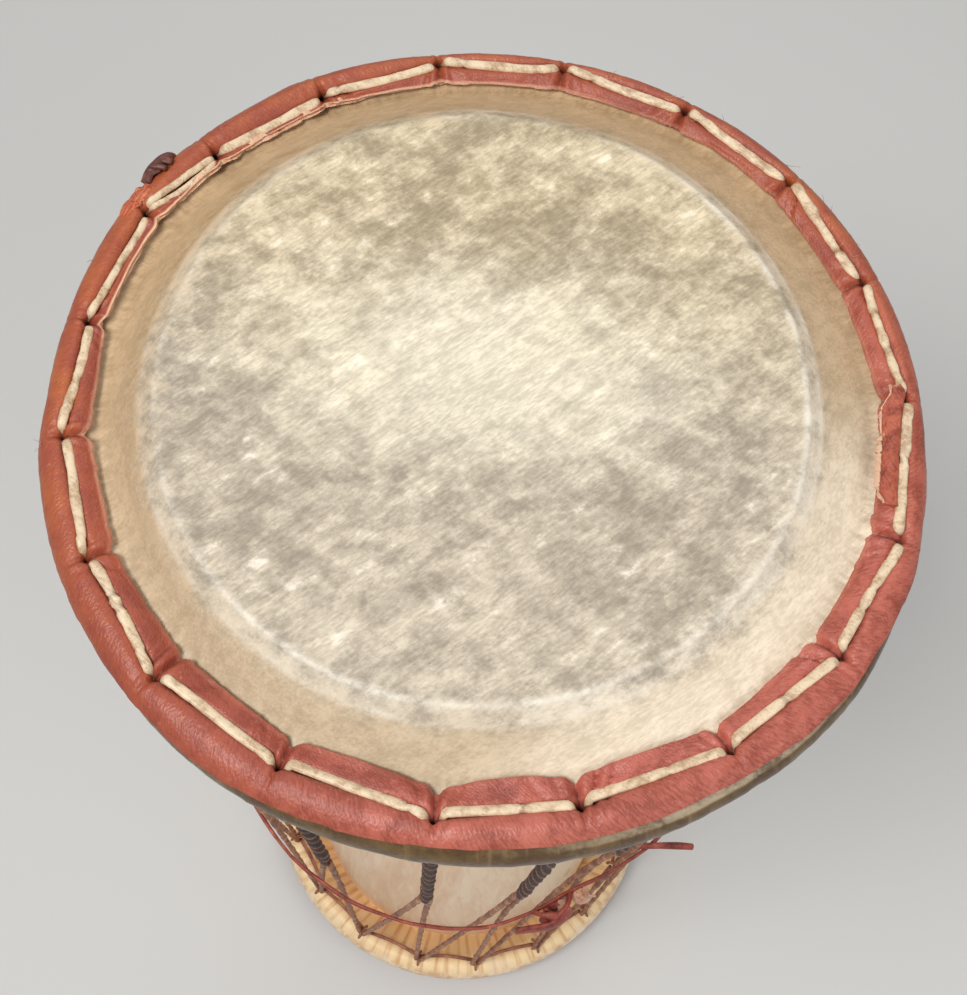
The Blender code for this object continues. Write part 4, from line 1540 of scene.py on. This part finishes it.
def makeFibres():
    piece = fibrePiece
    random.seed(23)
    frays, strays = [], []
    for _ in range(piece["frayCount"]):
        angle, s = 150.0 + random.uniform(-1.5, 3.0), random.uniform(0.0018, 0.0085)
        reachOut, rise = random.uniform(1.0, 3.0), random.uniform(0.0001, 0.0009)
        path = [onRim("upper", angle + reachOut * w, s + random.uniform(-0.0006, 0.0006) * w,
                      0.0016 + rise * sin(pi * (0.15 + 0.7 * w))) for w in (0.0, 0.3, 0.6, 1.0)]
        pts = throughPoints(path, 0.0009)
        width = piece["frayWidth"] * random.uniform(0.6, 1.5)
        frays.append(sweepRings(pts, [Vector((0, 0, 1))] * len(pts), lambda i: ovalSection(
            width * (1.2 - i / len(pts)), width * 0.45, 0.3 * sin(i * 0.7), 6)))
    for _ in range(piece["strayCount"]):
        angle = random.choice((random.uniform(28, 76), random.uniform(148, 214)))
        s = random.choice((random.uniform(0.006, 0.0105), random.uniform(-0.003, 0.001)))
        lean, out = random.uniform(-2.4, 2.4), random.uniform(0.0012, 0.0030)
        path = [onRim("upper", angle + lean * w, s + 0.0012 * w * random.uniform(-1, 1),
                      0.0019 + out * w ** 1.5) for w in (0.0, 0.35, 0.7, 1.0)]
        pts = throughPoints(path, 0.0008)
        strays.append(sweepRings(pts, [Vector((0, 0, 1))] * len(pts), lambda i: ovalSection(
            piece["strayWidth"] * (1.2 - i / len(pts)), piece["strayWidth"], 0.0, 5)))
    fray = tubeObject("frayedLeather", frays)
    finishPiece(fray, [frayLeather], "red_leather", "upper_rim_band")
    stray = tubeObject("strayFibres", strays)
    finishPiece(stray, [flapLeather], "red_leather", "upper_rim_band")


frayLeather = thongMaterial("frayLeather", linear(168, 74, 44), linear(206, 112, 74),
                            linear(232, 164, 124), 0.5)
makeFibres()
print("fibres done")


# floor, light and camera

studio = {"floor": linear(214, 212, 208), "world": linear(232, 236, 240), "worldStrength": 0.38,
          "keyPower": 17.0, "fillPower": 5.0, "backPower": 5.0}


def makeStudio():
    deselect()
    bpy.ops.mesh.primitive_plane_add(size=6, location=(0, 0, -0.0004))
    floor = bpy.context.object
    floor.name = "floor"
    mat, _, shader = newMaterial("paleFloor", 0.8)
    shader.inputs["Base Color"].default_value = studio["floor"]
    floor.data.materials.append(mat)
    world = bpy.data.worlds.new("studio")
    bpy.context.scene.world = world
    world.use_nodes = True
    sky = world.node_tree.nodes["Background"].inputs
    sky["Color"].default_value, sky["Strength"].default_value = studio["world"], studio["worldStrength"]
    for name, place, size, power in (("key", (-0.5, -0.45, 1.8), 0.55, studio["keyPower"]),
                                     ("fill", (0.8, -0.7, 1.3), 1.0, studio["fillPower"]),
                                     ("back", (0.1, 1.1, 1.5), 1.2, studio["backPower"])):
        light = bpy.data.lights.new(name, "AREA")
        light.energy, light.size = power, size
        lamp = bpy.data.objects.new(name, light)
        lamp.location = place
        lamp.rotation_euler = (Vector((0, 0, 0.4)) - Vector(place)).to_track_quat("-Z", "Y").to_euler()
        bpy.context.scene.collection.objects.link(lamp)


# fitted to the drum's own circles
view = {"lens": 54.27, "place": (0.0007, -0.1673, 0.8689), "tilt": 22.18, "roll": 4.14}


def makeCamera():
    data = bpy.data.cameras.new("camera")
    data.lens, data.sensor_width = view["lens"], 36.0
    data.clip_start, data.clip_end = 0.01, 20
    camera = bpy.data.objects.new("camera", data)
    camera.rotation_mode = "QUATERNION"
    camera.location = view["place"]
    camera.rotation_quaternion = (Matrix.Rotation(radians(view["tilt"]), 3, "X")
                                  @ Matrix.Rotation(radians(view["roll"]), 3, "Z")).to_quaternion()
    bpy.context.scene.collection.objects.link(camera)
    bpy.context.scene.camera = camera
    bpy.context.scene.view_settings.view_transform = "Standard"


makeStudio()
makeCamera()
print("studio done")
